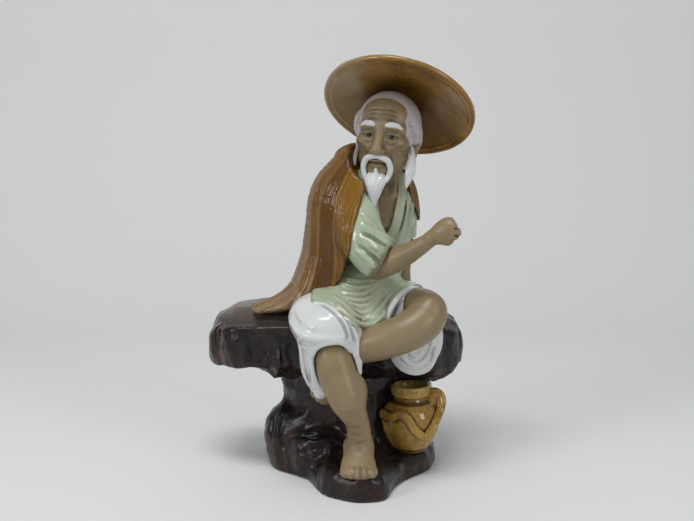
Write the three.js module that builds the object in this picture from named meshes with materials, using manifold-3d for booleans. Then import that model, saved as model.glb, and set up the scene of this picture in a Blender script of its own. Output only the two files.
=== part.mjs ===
// A seated fisherman in glazed stoneware: a figure in a broad hat and a straw cape, on a rock beside a jar.
// Each piece of clay that the maker presses or rolls and then lutes on is its own mesh.
// Millimetres, +Z up, the figure faces -Y, and left and right are the figure's own.
import * as THREE from 'three';
import { mergeVertices } from 'three/addons/utils/BufferGeometryUtils.js';
import Module from 'manifold-3d';

const wasm = await Module();
wasm.setup();

// Driving dimensions

const LUTE_GAP = 0.3; // left between two luted pieces

const SEAT_HEIGHT = 98; // top of the ledge above the floor
const LEDGE_LENGTH = 158;
const LEDGE_DEPTH = 67.5;
const LEDGE_THICKNESS = 42;

const PILLAR_HALF_WIDTH = 38;
const PILLAR_HALF_DEPTH = 27;
const BASE_LENGTH = 109;
const BASE_DEPTH = 106;
const SLAB_HEIGHT = 14; // the shelves that carry the foot and the jar
const SLAB_ROUNDING = 5;
const ROCK_WALL = 8;

const JAR_RADIUS = 17.5;
const JAR_FOOT_RADIUS = 10;
const JAR_NECK_RADIUS = 10.3;
const JAR_RIM_RADIUS = 12;
const JAR_HEIGHT = 40;
const JAR_NECK_HEIGHT = 32;
const JAR_WALL = 2.6;
const SLING_RADIUS = 2.4;

const THIGH_RADIUS = 13.5;
const THIGH_FLATNESS = 0.8; // height of a seated thigh as a share of its width
const KNEE_RADIUS = 12;
const CALF_RADIUS = 10.8;
const ANKLE_RADIUS = 6.6;
const FOOT_HALF_WIDTH = 9.6;
const FOOT_LENGTH = 29;
const FOOT_HEIGHT = 15;

const ELBOW_RADIUS = 9;
const FOREARM_RADIUS = 6.9;
const WRIST_RADIUS = 4.6;
const FIST_HALF_WIDTH = 8;
const HAND_HALF_WIDTH = 6.5;

const PELVIS_HALF_WIDTH = 22;
const WAIST_HALF_WIDTH = 18;
const CHEST_HALF_WIDTH = 17.5;
const SHOULDER_HALF_WIDTH = 15;
const TRUNK_FLATNESS = 0.78; // depth of the trunk as a share of its width
const NECK_RADIUS = 8.6;

const TUNIC_THICKNESS = 2.4;
const LAPEL_HALF_WIDTH = 3.4;
const SLEEVE_THICKNESS = 2.6;
const TROUSER_THICKNESS = 3.4;
const SKIRT_HALF_WIDTH = 23;
const SKIRT_THICKNESS = 4;
const CAPE_HALF_WIDTH = 34;
const CAPE_HALF_DEPTH = 27;
const CAPE_FLARE = 4; // extra half-width of the cape at the seat
const STRAW_THICKNESS = 1.8; // of the cape over the right arm
const TAIL_THICKNESS = 3.4;
const CAPE_SINK = 3; // how far the hem is pressed into the ledge

const HEAD_HEIGHT = 50;
const HEAD_HALF_WIDTH = 16.4;
const HEAD_HALF_DEPTH = 19;
const HAIR_THICKNESS = 1.9;
const EAR_HEIGHT = 15;
const BROW_RADIUS = 1.5;
const MOUSTACHE_RADIUS = 1.7;
const BEARD_HALF_WIDTH = 7.4;
const BEARD_LENGTH = 23;
const LOCK_LENGTH = 17;
const LOCK_RADIUS = 2.7;

const HAT_RADIUS = 45.5;
const HAT_RISE = 17; // height of the cone over the brim
const HAT_THICKNESS = 3.6;

// Places

const at = (x, y, z) => new THREE.Vector3(x, y, z);
const onSeat = (x, y, up) => at(x, y, SEAT_HEIGHT + up);
const onSlab = (x, y, up) => at(x, y, SLAB_HEIGHT + up);

const LEDGE_CENTRE = at(-4, 14.25, 0);
const PILLAR_CENTRE = at(1, 15, 0);
const BASE_CENTRE = at(4.5, -6, 0);
const JAR_FOOT = onSlab(42, -6, -0.5);

const PELVIS = onSeat(14, 14, 13);
const WAIST = onSeat(18, 9, 28);
const CHEST = onSeat(24, 5, 52);
const SHOULDERS = onSeat(27, 5, 69);
const THROAT = onSeat(28, 2, 83);

const RIGHT_HIP = onSeat(1, 8, 4);
const RIGHT_THIGH = onSeat(-9, -18, -1);
const RIGHT_KNEE = onSeat(-5.4, -35, -15);
const RIGHT_CALF = onSlab(2.4, -43.4, 42);
const RIGHT_ANKLE = onSlab(10, -37, 14);
const RIGHT_FOOT = onSlab(10, -43, -0.8);

const LEFT_HIP = onSeat(27, 7, 4);
const LEFT_KNEE = onSeat(51, -25, 4);
const LEFT_CALF = onSeat(32, -33, -8);
const LEFT_ANKLE = onSeat(1, -27, -19);
const LEFT_TOES = onSeat(-12, -31, -42);

const RIGHT_SHOULDER = onSeat(5, 3, 76);
const RIGHT_ELBOW = onSeat(21, -24, 32);
const RIGHT_HEM = onSeat(27, -27, 34);
const RIGHT_WRIST = onSeat(53, -40, 48);
const RIGHT_KNUCKLES = onSeat(60.5, -43, 52);

const LEFT_SHOULDER = onSeat(36, 8, 71);
const LEFT_ELBOW = onSeat(37.5, 8, 45);
const LEFT_WRIST = onSeat(37.5, 9, 19);
const LEFT_PALM = onSeat(42, 13, 7);
const LEFT_FINGERS = onSeat(49, 9, 2);

const HEAD_CENTRE = onSeat(27, -2, 105);
const HEAD_TURN = THREE.MathUtils.degToRad(-17);
const HEAD_ROLL = THREE.MathUtils.degToRad(6);
const HAT_CENTRE = onSeat(33.7, -2, 121);
const HAT_AXIS = at(0.244, 0.532, 0.811).normalize();

// Clay bodies and glazes

const clay = (color, roughness) => new THREE.MeshStandardMaterial({ color, roughness, metalness: 0 });
const ROCK_GLAZE = clay(0x2a2124, 0.3);
const AMBER_GLAZE = clay(0x7a4a17, 0.16);
const JAR_GLAZE = clay(0x8a6420, 0.16);
const CELADON_GLAZE = clay(0x9fb79c, 0.2);
const WHITE_GLAZE = clay(0xd9dadb, 0.22);
const BARE_CLAY = clay(0x83704f, 0.5);

// Solids

// A closed geometry as a solid, with its shared corners merged and its faces turned out.
function solid(geometry) {
  const bare = geometry.clone();
  bare.deleteAttribute('normal');
  bare.deleteAttribute('uv');
  const merged = mergeVertices(bare, 1e-4);
  const triVerts = new Uint32Array(merged.index.array);
  const vertProperties = merged.attributes.position.array;
  const build = () => new wasm.Manifold(new wasm.Mesh({ numProp: 3, vertProperties, triVerts }));
  const made = build();
  if (made.volume() > 0) return made;
  for (let i = 0; i < triVerts.length; i += 3) {
    [triVerts[i], triVerts[i + 1]] = [triVerts[i + 1], triVerts[i]];
  }
  return build();
}

const join = (...solids) => solids.reduce((a, b) => a.add(b));

// The body less its neighbours, without the crumbs that a cut leaves.
function cut(body, ...tools) {
  const pieces = body.subtract(join(...tools)).decompose();
  return pieces.reduce((a, b) => (a.volume() > b.volume() ? a : b));
}

function geometryOf(body) {
  const { vertProperties, triVerts } = body.getMesh();
  const geometry = new THREE.BufferGeometry();
  geometry.setAttribute('position', new THREE.BufferAttribute(vertProperties, 3));
  geometry.setIndex(new THREE.BufferAttribute(triVerts, 1));
  geometry.computeVertexNormals();
  return geometry;
}

const box = (low, high) => {
  const size = high.clone().sub(low);
  const middle = low.clone().add(high).multiplyScalar(0.5);
  return solid(new THREE.BoxGeometry(size.x, size.y, size.z).translate(middle.x, middle.y, middle.z));
};

const ball = (centre, rx, ry, rz, sides = 16) =>
  solid(new THREE.SphereGeometry(1, sides, Math.ceil(sides * 0.6)).rotateX(Math.PI / 2)
    .scale(rx, ry, rz).translate(centre.x, centre.y, centre.z));

// A capsule bent along a smooth path. Each station is [place, half-width, half-depth], with the depth taken
// towards `facing`, and `ends` says how far the rounded ends reach, as a share of the half-depth there.
function limb(stations, { grow = 0, sides = 12, rings = 6, caps = 2, facing = at(0, -1, 0), ends = 1 } = {}) {
  const path = new THREE.CatmullRomCurve3(stations.map(([place]) => place));
  const girth = new THREE.CatmullRomCurve3(stations.map(([, wide, deep = wide]) => at(wide, deep, 0)));
  const geometry = new THREE.CapsuleGeometry(1, 2, caps, sides, rings);
  const corners = geometry.attributes.position;
  const corner = new THREE.Vector3();
  for (let i = 0; i < corners.count; i += 1) {
    corner.fromBufferAttribute(corners, i);
    const along = THREE.MathUtils.clamp(corner.y, -1, 1);
    const t = (along + 1) / 2;
    const forward = path.getTangent(t);
    const deepWay = facing.clone().addScaledVector(forward, -facing.dot(forward)).normalize();
    const wideWay = forward.clone().cross(deepWay);
    const half = girth.getPoint(t);
    const place = path.getPoint(t)
      .addScaledVector(wideWay, corner.x * (half.x + grow))
      .addScaledVector(deepWay, corner.z * (half.y + grow))
      .addScaledVector(forward, (corner.y - along) * (half.y * ends + grow));
    corners.setXYZ(i, place.x, place.y, place.z);
  }
  return solid(geometry);
}

// A prism with the given corners, from one height to another.
function prism(corners, low, high, bevel = {}) {
  const outline = new THREE.Shape(corners);
  return solid(new THREE.ExtrudeGeometry(outline, { depth: high - low, bevelEnabled: false, ...bevel })
    .translate(0, 0, low));
}

// The body less what stands out past each chip. A chip is a place on it and the way that it faces.
const chipped = (body, chips) => chips.reduce((rest, [place, way]) => {
  const inward = way.clone().normalize().negate();
  return rest.trimByPlane(inward.toArray(), inward.dot(place));
}, body);

const FLOOR = 0;
const REACH = 400; // past everything, for cutting tools
const aboveFloor = box(at(-REACH, -REACH, FLOOR), at(REACH, REACH, REACH));

// Legs

const rightLeg = (grow) => limb(
  [[RIGHT_KNEE, KNEE_RADIUS], [RIGHT_CALF, CALF_RADIUS], [RIGHT_ANKLE, ANKLE_RADIUS]],
  { grow, ends: 0.8 },
);

function rightFoot(grow) {
  const heel = RIGHT_FOOT.clone().add(at(-1, FOOT_LENGTH * 0.36, FOOT_HEIGHT * 0.5));
  const instep = RIGHT_FOOT.clone().add(at(0, 0, FOOT_HEIGHT * 0.46));
  const toes = RIGHT_FOOT.clone().add(at(1, -FOOT_LENGTH * 0.36, FOOT_HEIGHT * 0.22));
  const sole = box(
    at(-REACH, -REACH, RIGHT_FOOT.z - grow),
    at(REACH, REACH, REACH),
  );
  const upper = limb(
    [
      [heel, FOOT_HALF_WIDTH * 0.7, FOOT_HEIGHT * 0.5],
      [instep, FOOT_HALF_WIDTH * 0.88, FOOT_HEIGHT * 0.46],
      [toes, FOOT_HALF_WIDTH, FOOT_HEIGHT * 0.26],
    ],
    { grow, facing: at(0, 0, 1), rings: 8 },
  );
  return upper.intersect(sole);
}

const leftLeg = (grow) => limb(
  [
    [LEFT_HIP, THIGH_RADIUS, THIGH_RADIUS * THIGH_FLATNESS],
    [LEFT_KNEE, KNEE_RADIUS],
    [LEFT_CALF, CALF_RADIUS],
    [LEFT_ANKLE, ANKLE_RADIUS],
  ],
  { grow, rings: 14, ends: 0.8, facing: at(0, 0, 1) },
);

const leftFoot = (grow) => limb(
  [
    [LEFT_ANKLE, ANKLE_RADIUS * 0.9],
    [LEFT_ANKLE.clone().lerp(LEFT_TOES, 0.5), ANKLE_RADIUS, FOOT_HEIGHT * 0.36],
    [LEFT_TOES, FOOT_HALF_WIDTH * 0.8, FOOT_HEIGHT * 0.26],
  ],
  { grow, rings: 6 },
);

// Trouser legs: loose tubes round the thighs, with hems that hang at the knees

function rightTrouser(grow) {
  const loose = THIGH_RADIUS + TROUSER_THICKNESS;
  const thigh = limb(
    [
      [RIGHT_HIP, loose, loose * THIGH_FLATNESS],
      [RIGHT_THIGH, loose + 5, loose * THIGH_FLATNESS],
      [RIGHT_KNEE.clone().add(at(-2.6, -3.5, 7.4)), KNEE_RADIUS + TROUSER_THICKNESS],
    ],
    { grow, ends: 0.65, facing: at(0, 0, 1) },
  );
  const flap = limb(
    [
      [RIGHT_KNEE.clone().add(at(-2.6, 0, 7)), KNEE_RADIUS + TROUSER_THICKNESS, KNEE_RADIUS + 1],
      [RIGHT_KNEE.clone().add(at(-4, 1, -5)), KNEE_RADIUS + TROUSER_THICKNESS - 1, KNEE_RADIUS - 1],
      [RIGHT_KNEE.clone().add(at(-4.6, 2, -16)), KNEE_RADIUS, KNEE_RADIUS * 0.7],
      [RIGHT_KNEE.clone().add(at(-6.6, 3, -27)), KNEE_RADIUS * 0.4, KNEE_RADIUS * 0.3],
    ],
    { grow, rings: 6 },
  );
  return thigh.add(flap);
}

function leftTrouser(grow) {
  const loose = THIGH_RADIUS + TROUSER_THICKNESS;
  const hem = LEFT_KNEE.clone().lerp(LEFT_HIP, 0.16);
  const thigh = limb(
    [[LEFT_HIP, loose, loose * THIGH_FLATNESS], [hem, KNEE_RADIUS + TROUSER_THICKNESS]],
    { grow, rings: 4, ends: 0.4, facing: at(0, 0, 1) },
  );
  const drape = limb(
    [
      [hem.clone().add(at(-2, 4, 6)), KNEE_RADIUS + TROUSER_THICKNESS, KNEE_RADIUS * 0.6],
      [hem.clone().add(at(-3, 3, -18)), KNEE_RADIUS + TROUSER_THICKNESS, KNEE_RADIUS * 0.6],
      [hem.clone().add(at(0, 1, -33)), KNEE_RADIUS * 0.7, KNEE_RADIUS * 0.4],
    ],
    { grow, rings: 6 },
  );
  return thigh.add(drape);
}

// Trunk and tunic

const trunk = (grow, thicker = 0) => limb(
  [
    [PELVIS, PELVIS_HALF_WIDTH],
    [WAIST, WAIST_HALF_WIDTH],
    [CHEST, CHEST_HALF_WIDTH],
    [SHOULDERS, SHOULDER_HALF_WIDTH],
  ].map(([place, wide]) => [place, wide + thicker, wide * TRUNK_FLATNESS + thicker]),
  { grow, sides: 14, rings: 7, ends: 0.7 },
);

const neck = (grow) => limb(
  [[SHOULDERS, NECK_RADIUS], [THROAT, NECK_RADIUS], [HEAD_CENTRE.clone().lerp(THROAT, 0.6), NECK_RADIUS]],
  { grow, rings: 4, ends: 0.3 },
);

const chest = (grow) => trunk(grow).add(neck(grow));

// The bare chest shows in a V from the collarbones down to the waist.
function neckline() {
  const outline = new THREE.Shape([
    new THREE.Vector2(THROAT.x - 13, THROAT.z + 12),
    new THREE.Vector2(THROAT.x - 12, THROAT.z - 8),
    new THREE.Vector2(WAIST.x + 7, CHEST.z - 7),
    new THREE.Vector2(THROAT.x + 11, THROAT.z - 8),
    new THREE.Vector2(THROAT.x + 12, THROAT.z + 12),
  ]);
  const wedge = new THREE.ExtrudeGeometry(outline, { depth: REACH, bevelEnabled: false });
  return solid(wedge.rotateX(Math.PI / 2)).translate([0, THROAT.y, 0]);
}

const tunic = (grow) => trunk(grow, TUNIC_THICKNESS);

const skirt = (grow) => limb(
  [
    [WAIST.clone().add(at(-2, -10, -8)), SKIRT_HALF_WIDTH * 0.8, SKIRT_THICKNESS],
    [onSeat(13, -17, 7), SKIRT_HALF_WIDTH, SKIRT_THICKNESS],
    [onSeat(13, -28, -1), SKIRT_HALF_WIDTH * 0.7, SKIRT_THICKNESS * 0.7],
  ],
  { grow, sides: 14 },
);

// A lapel is a flat band from the shoulder, beside the throat, down to the point of the V.
function lapel(side, grow) {
  const front = (place, forward) => place.clone().add(at(0, -forward, 0));
  const top = front(THROAT, 6).add(at(side * 12.5, 0, -7));
  const middle = front(CHEST, CHEST_HALF_WIDTH * TRUNK_FLATNESS - 0.5).add(at(side * 9 + 2, 0, 8));
  const point = front(CHEST, CHEST_HALF_WIDTH * TRUNK_FLATNESS + 1.5).add(at(side * 3.4 - 1, 0, -10));
  return limb(
    [
      [top, LAPEL_HALF_WIDTH, TUNIC_THICKNESS],
      [middle, LAPEL_HALF_WIDTH, TUNIC_THICKNESS],
      [point, LAPEL_HALF_WIDTH * 0.7, TUNIC_THICKNESS],
    ],
    { grow, sides: 10, rings: 6 },
  );
}

// Arms and sleeves

const rightForearm = (grow) => limb(
  [
    [RIGHT_ELBOW, ELBOW_RADIUS],
    [RIGHT_ELBOW.clone().lerp(RIGHT_WRIST, 0.55), FOREARM_RADIUS],
    [RIGHT_WRIST, WRIST_RADIUS],
  ],
  { grow, ends: 0.8 },
);

const rightFist = (grow) => limb(
  [
    [RIGHT_WRIST, WRIST_RADIUS * 1.15],
    [RIGHT_WRIST.clone().lerp(RIGHT_KNUCKLES, 0.8), FIST_HALF_WIDTH, FIST_HALF_WIDTH * 0.9],
    [RIGHT_KNUCKLES, FIST_HALF_WIDTH * 0.92, FIST_HALF_WIDTH * 0.86],
  ],
  { grow, rings: 6, ends: 0.75 },
);

const leftForearm = (grow) => limb(
  [[LEFT_ELBOW, FOREARM_RADIUS], [LEFT_WRIST, WRIST_RADIUS]],
  { grow, rings: 5, ends: 0.6 },
);

const leftHand = (grow) => limb(
  [
    [LEFT_WRIST, WRIST_RADIUS * 1.1],
    [LEFT_PALM, HAND_HALF_WIDTH],
    [LEFT_FINGERS, HAND_HALF_WIDTH, 2.6],
  ],
  { grow, rings: 6, facing: at(0.4, -0.3, 0.86) },
);

const rightSleeve = (grow) => limb(
  [
    [RIGHT_SHOULDER, ELBOW_RADIUS + SLEEVE_THICKNESS],
    [
      RIGHT_SHOULDER.clone().lerp(RIGHT_ELBOW, 0.55).add(at(-3, -1, 0)),
      ELBOW_RADIUS + SLEEVE_THICKNESS * 1.6,
    ],
    [RIGHT_ELBOW.clone().add(at(-3, 1, 1)), ELBOW_RADIUS + SLEEVE_THICKNESS],
    [RIGHT_HEM, ELBOW_RADIUS + SLEEVE_THICKNESS],
  ],
  { grow, ends: 0.2, caps: 2 },
);

const leftSleeve = (grow) => limb(
  [
    [LEFT_SHOULDER, FOREARM_RADIUS + SLEEVE_THICKNESS],
    [LEFT_ELBOW, FOREARM_RADIUS + SLEEVE_THICKNESS],
  ],
  { grow, rings: 5, ends: 0.4 },
);

// Head, in its own frame: -Y is the way the face looks and the origin is midway between crown and chin

const headFrame = new THREE.Group();
headFrame.position.copy(HEAD_CENTRE);
headFrame.rotation.set(0, HEAD_ROLL, HEAD_TURN, 'ZYX');
headFrame.updateMatrix();
const inWorld = (body) => body.transform(headFrame.matrix.elements);
const inHead = (body) => body.transform(headFrame.matrix.clone().invert().elements);

const HALF_HEAD = HEAD_HEIGHT / 2;
const FACE_FRONT = -HEAD_HALF_DEPTH;

function skull(grow) {
  const cranium = ball(
    at(0, 2, HALF_HEAD * 0.24),
    HEAD_HALF_WIDTH + grow,
    HEAD_HALF_DEPTH + grow,
    HALF_HEAD * 0.76 + grow,
  );
  const jaw = ball(
    at(0, -3.4, -HALF_HEAD * 0.34),
    HEAD_HALF_WIDTH * 0.82 + grow,
    HEAD_HALF_DEPTH * 0.78 + grow,
    HALF_HEAD * 0.66 + grow,
  );
  const nose = limb(
    [[at(0, FACE_FRONT + 2.4, 1), 1.6], [at(0, FACE_FRONT - 1.2, -HALF_HEAD * 0.4), 2.6]],
    { grow, sides: 8, rings: 3 },
  );
  return join(cranium, jaw, nose);
}

const ear = (side, grow) => limb(
  [
    [at(side * HEAD_HALF_WIDTH * 1.03, 3, EAR_HEIGHT * 0.32), 1.7, 3.6],
    [at(side * HEAD_HALF_WIDTH * 1.06, 3, -EAR_HEIGHT * 0.1), 1.6, 3],
    [at(side * HEAD_HALF_WIDTH * 0.98, 1.6, -EAR_HEIGHT * 0.56), 1.4, 2],
  ],
  { grow, sides: 10, rings: 5 },
);

// Hair lies on the crown, the temples and the nape, and leaves the face bare.
function hairCap(grow) {
  const cap = ball(
    at(0, 2, HALF_HEAD * 0.24),
    HEAD_HALF_WIDTH + HAIR_THICKNESS + grow,
    HEAD_HALF_DEPTH + HAIR_THICKNESS + grow,
    HALF_HEAD * 0.76 + HAIR_THICKNESS + grow,
  );
  const face = limb(
    [
      [at(0, FACE_FRONT, -HALF_HEAD), HEAD_HALF_WIDTH * 1.3, HEAD_HALF_DEPTH],
      [at(0, FACE_FRONT, -2), HEAD_HALF_WIDTH * 0.95, HEAD_HALF_DEPTH * 0.95],
      [at(0, FACE_FRONT, HALF_HEAD * 0.26), HEAD_HALF_WIDTH * 0.84, HEAD_HALF_DEPTH * 0.8],
    ],
    { grow: -grow, rings: 6 },
  );
  const nape = box(at(-REACH, -REACH, -REACH), at(REACH, REACH, -HALF_HEAD * 0.42 - grow));
  return cap.subtract(face).subtract(nape);
}

const eyebrow = (side, grow) => limb(
  [
    [at(side * 3.4, FACE_FRONT + 1.9, 3.4), BROW_RADIUS * 0.8],
    [at(side * 7.2, FACE_FRONT + 2.9, 4.6), BROW_RADIUS],
    [at(side * 11, FACE_FRONT + 6, 3.6), BROW_RADIUS * 0.8],
  ],
  { grow, sides: 8, rings: 5 },
);

const moustache = (grow) => limb(
  [
    [at(-7.6, FACE_FRONT + 2.8, -21), MOUSTACHE_RADIUS],
    [at(-6.6, FACE_FRONT + 1, -15), MOUSTACHE_RADIUS],
    [at(-3.2, FACE_FRONT - 0.6, -11.8), MOUSTACHE_RADIUS],
    [at(3.2, FACE_FRONT - 0.6, -11.8), MOUSTACHE_RADIUS],
    [at(6.6, FACE_FRONT + 1, -15), MOUSTACHE_RADIUS],
    [at(7.6, FACE_FRONT + 2.8, -21), MOUSTACHE_RADIUS],
  ],
  { grow, sides: 6, rings: 12, ends: 0.5 },
);

const goatee = (grow) => limb(
  [
    [at(0, FACE_FRONT + 2.2, -22.4), BEARD_HALF_WIDTH, 3.4],
    [at(0, FACE_FRONT + 1.6, -22.4 - BEARD_LENGTH * 0.4), BEARD_HALF_WIDTH * 0.72, 3.2],
    [at(0, FACE_FRONT + 2.6, -22.4 - BEARD_LENGTH * 0.82), 1.1],
  ],
  { grow, sides: 12, rings: 8 },
);

// A lock hangs from behind each ear towards the shoulder.
const sidelock = (side, grow) => limb(
  [
    [at(side * HEAD_HALF_WIDTH, -0.6, -7), LOCK_RADIUS * 0.6],
    [at(side * (HEAD_HALF_WIDTH + 1.2), -2.4, -7 - LOCK_LENGTH * 0.5), LOCK_RADIUS],
    [at(side * (HEAD_HALF_WIDTH + 0.4), -3.4, -7 - LOCK_LENGTH), LOCK_RADIUS * 0.35],
  ],
  { grow, sides: 8, rings: 6 },
);

// Hat: a cone of even thickness with a rolled edge, turned about its own axis

const hatFrame = new THREE.Group();
hatFrame.position.copy(HAT_CENTRE);
hatFrame.quaternion.setFromUnitVectors(at(0, 0, 1), HAT_AXIS);
hatFrame.updateMatrix();

function hatShell() {
  const edge = HAT_THICKNESS / 2;
  const profile = new THREE.CatmullRomCurve3([
    at(0, HAT_RISE, 0),
    at(HAT_RADIUS * 0.36, HAT_RISE * 0.66, 0),
    at(HAT_RADIUS * 0.72, HAT_RISE * 0.22, 0),
    at(HAT_RADIUS - edge, 0, 0),
  ]).getPoints(6).map(({ x, y }) => new THREE.Vector2(x, y));
  profile[0].x = 0;
  const under = profile.map(({ x, y }) => new THREE.Vector2(x, y - edge));
  const over = profile.map(({ x, y }) => new THREE.Vector2(x, y + edge)).reverse();
  const rim = new THREE.Vector2(HAT_RADIUS, 0);
  return solid(new THREE.LatheGeometry([...under, rim, ...over], 32).rotateX(Math.PI / 2));
}

// Cape: straw over the right arm and the back, open in front, with a tail on the ledge

function capeEnvelope(grow) {
  const level = (x, y, up, wider, deeper) => [
    onSeat(x, y, up),
    CAPE_HALF_WIDTH + wider,
    CAPE_HALF_DEPTH + deeper,
  ];
  const mantle = limb(
    [
      level(2, 12, -14, CAPE_FLARE, 4),
      level(3.5, 11, 6, CAPE_FLARE * 0.2, 2),
      level(6, 9.6, 24, -2, 1),
      level(8.6, 8, 42, -2.2, 0.6),
      level(11.6, 6, 55, -0.6, 0),
      level(12.8, 5, 66, -1.2, -1),
      level(14.4, 4, 80, -5, -4.6),
    ],
    { grow, sides: 20, rings: 10, caps: 3, ends: 0.85 },
  );
  const tail = limb(
    [
      [onSeat(-14, 2, 26), 14, TAIL_THICKNESS * 2.6],
      [onSeat(-22, 1, 14), 15, TAIL_THICKNESS * 2.2],
      [onSeat(-33, 0, 5.6), 12.5, TAIL_THICKNESS * 1.5],
      [onSeat(-51, -2, 0.4), 6, TAIL_THICKNESS * 0.6],
    ],
    { grow, rings: 8, facing: at(-0.5, -0.2, 0.84) },
  );
  const bed = box(at(-REACH, -REACH, SEAT_HEIGHT - CAPE_SINK - grow), at(REACH, REACH, REACH));
  const collar = ball(HEAD_CENTRE.clone().add(at(-2, -11, -10)), 20.5 - grow, 17 - grow, 21 - grow);
  return join(mantle, tail, rightSleeve(grow + STRAW_THICKNESS)).subtract(collar).intersect(bed);
}

// The open front, on the figure's left of a slanting edge.
function capeOpening() {
  const outline = new THREE.Shape([
    new THREE.Vector2(13, SEAT_HEIGHT + 120),
    new THREE.Vector2(14, SEAT_HEIGHT + 78),
    new THREE.Vector2(7.6, SEAT_HEIGHT + 54),
    new THREE.Vector2(3, SEAT_HEIGHT + 30),
    new THREE.Vector2(-7, SEAT_HEIGHT + 14),
    new THREE.Vector2(-26, SEAT_HEIGHT + 11),
    new THREE.Vector2(-26, SEAT_HEIGHT - 60),
    new THREE.Vector2(REACH, SEAT_HEIGHT - 60),
    new THREE.Vector2(REACH, SEAT_HEIGHT + 120),
  ]);
  const wedge = new THREE.ExtrudeGeometry(outline, { depth: REACH, bevelEnabled: false });
  return solid(wedge.rotateX(Math.PI / 2)).translate([0, 12, 0]);
}

// Jar and its sling, in a frame that stands on the shelf

const jarFrame = new THREE.Group();
jarFrame.position.copy(JAR_FOOT);
jarFrame.updateMatrix();

// The outside of the jar, as [radius, height] from the foot to the rim.
const jarOutside = [
  [JAR_FOOT_RADIUS, 0],
  [JAR_RADIUS * 0.86, JAR_NECK_HEIGHT * 0.26],
  [JAR_RADIUS, JAR_NECK_HEIGHT * 0.55],
  [JAR_RADIUS * 0.9, JAR_NECK_HEIGHT * 0.8],
  [JAR_NECK_RADIUS, JAR_NECK_HEIGHT],
];
const jarSide = new THREE.SplineCurve(jarOutside.map(([r, z]) => new THREE.Vector2(r, z)));

const jarRim = [
  new THREE.Vector2(JAR_RIM_RADIUS, JAR_NECK_HEIGHT + 2),
  new THREE.Vector2(JAR_RIM_RADIUS, JAR_HEIGHT - 1),
  new THREE.Vector2(JAR_RIM_RADIUS - 1, JAR_HEIGHT),
];
const jarProfile = [...jarSide.getPoints(8), ...jarRim];

function jarBody() {
  const bore = JAR_NECK_RADIUS - JAR_WALL;
  const inner = jarSide.getPoints(8)
    .map(({ x, y }) => new THREE.Vector2(x - JAR_WALL, Math.max(y, JAR_WALL)))
    .reverse();
  const profile = [
    new THREE.Vector2(0, 0),
    ...jarProfile,
    new THREE.Vector2(bore, JAR_HEIGHT),
    ...inner,
    new THREE.Vector2(0, JAR_WALL),
  ];
  return solid(new THREE.LatheGeometry(profile, 20).rotateX(Math.PI / 2));
}

// The jar as a solid, for cutting away what it stands on and leans against.
function jarEnvelope(grow) {
  const side = jarProfile.map(({ x, y }) => new THREE.Vector2(x + grow, y));
  const profile = [
    new THREE.Vector2(0, -grow),
    new THREE.Vector2(side[0].x, -grow),
    ...side.slice(1),
    new THREE.Vector2(side.at(-1).x, JAR_HEIGHT + grow),
    new THREE.Vector2(0, JAR_HEIGHT + grow),
  ];
  return solid(new THREE.LatheGeometry(profile, 20).rotateX(Math.PI / 2));
}

// The sling crosses the front of the jar, turns under its right side and stands up beside the neck as a lug.
function jarSling(grow) {
  const onJar = (degrees, share, proud) => {
    const spot = jarSide.getPoint(share);
    const turn = THREE.MathUtils.degToRad(degrees);
    return at(Math.cos(turn) * (spot.x + proud), Math.sin(turn) * (spot.x + proud), spot.y);
  };
  return limb(
    [
      [onJar(190, 0.5, 0.4), SLING_RADIUS * 0.7],
      [onJar(235, 0.55, 0.8), SLING_RADIUS],
      [onJar(275, 0.36, 0.9), SLING_RADIUS],
      [onJar(310, 0.14, 0.9), SLING_RADIUS],
      [onJar(338, 0.32, 1.6), SLING_RADIUS],
      [onJar(352, 0.6, 3.4), SLING_RADIUS],
      [onJar(0, 0.82, 3.6), SLING_RADIUS],
      [onJar(10, 0.95, 1), SLING_RADIUS * 0.8],
    ],
    { grow, sides: 8, rings: 22 },
  );
}

// Rock: a lobed slab, boulders and a pillar in one hollow piece, and the ledge laid on the pillar

// The slab from above, as shares of its length and depth about its middle.
const baseOutline = [
  [-0.5, 0.34], [-0.436, 0.142], [-0.39, 0.019], [-0.317, -0.075], [-0.225, -0.179], [-0.142, -0.377],
  [-0.041, -0.467], [0.078, -0.5], [0.188, -0.458], [0.243, -0.302], [0.307, -0.184], [0.399, -0.094],
  [0.468, 0.019], [0.5, 0.189], [0.472, 0.358], [0.344, 0.481], [0.05, 0.5], [-0.298, 0.491], [-0.454, 0.453],
];

// Boulders that swell out of the slab: the middle, then the three half-sizes.
const boulders = [
  [at(-18, 6, 8), 27, 24, 31],
  [at(-35, 10, 20), 14, 18, 17],
  [at(-14, -12, 14), 17, 14, 14],
  [at(34, 14, 22), 20, 20, 20],
];

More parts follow.
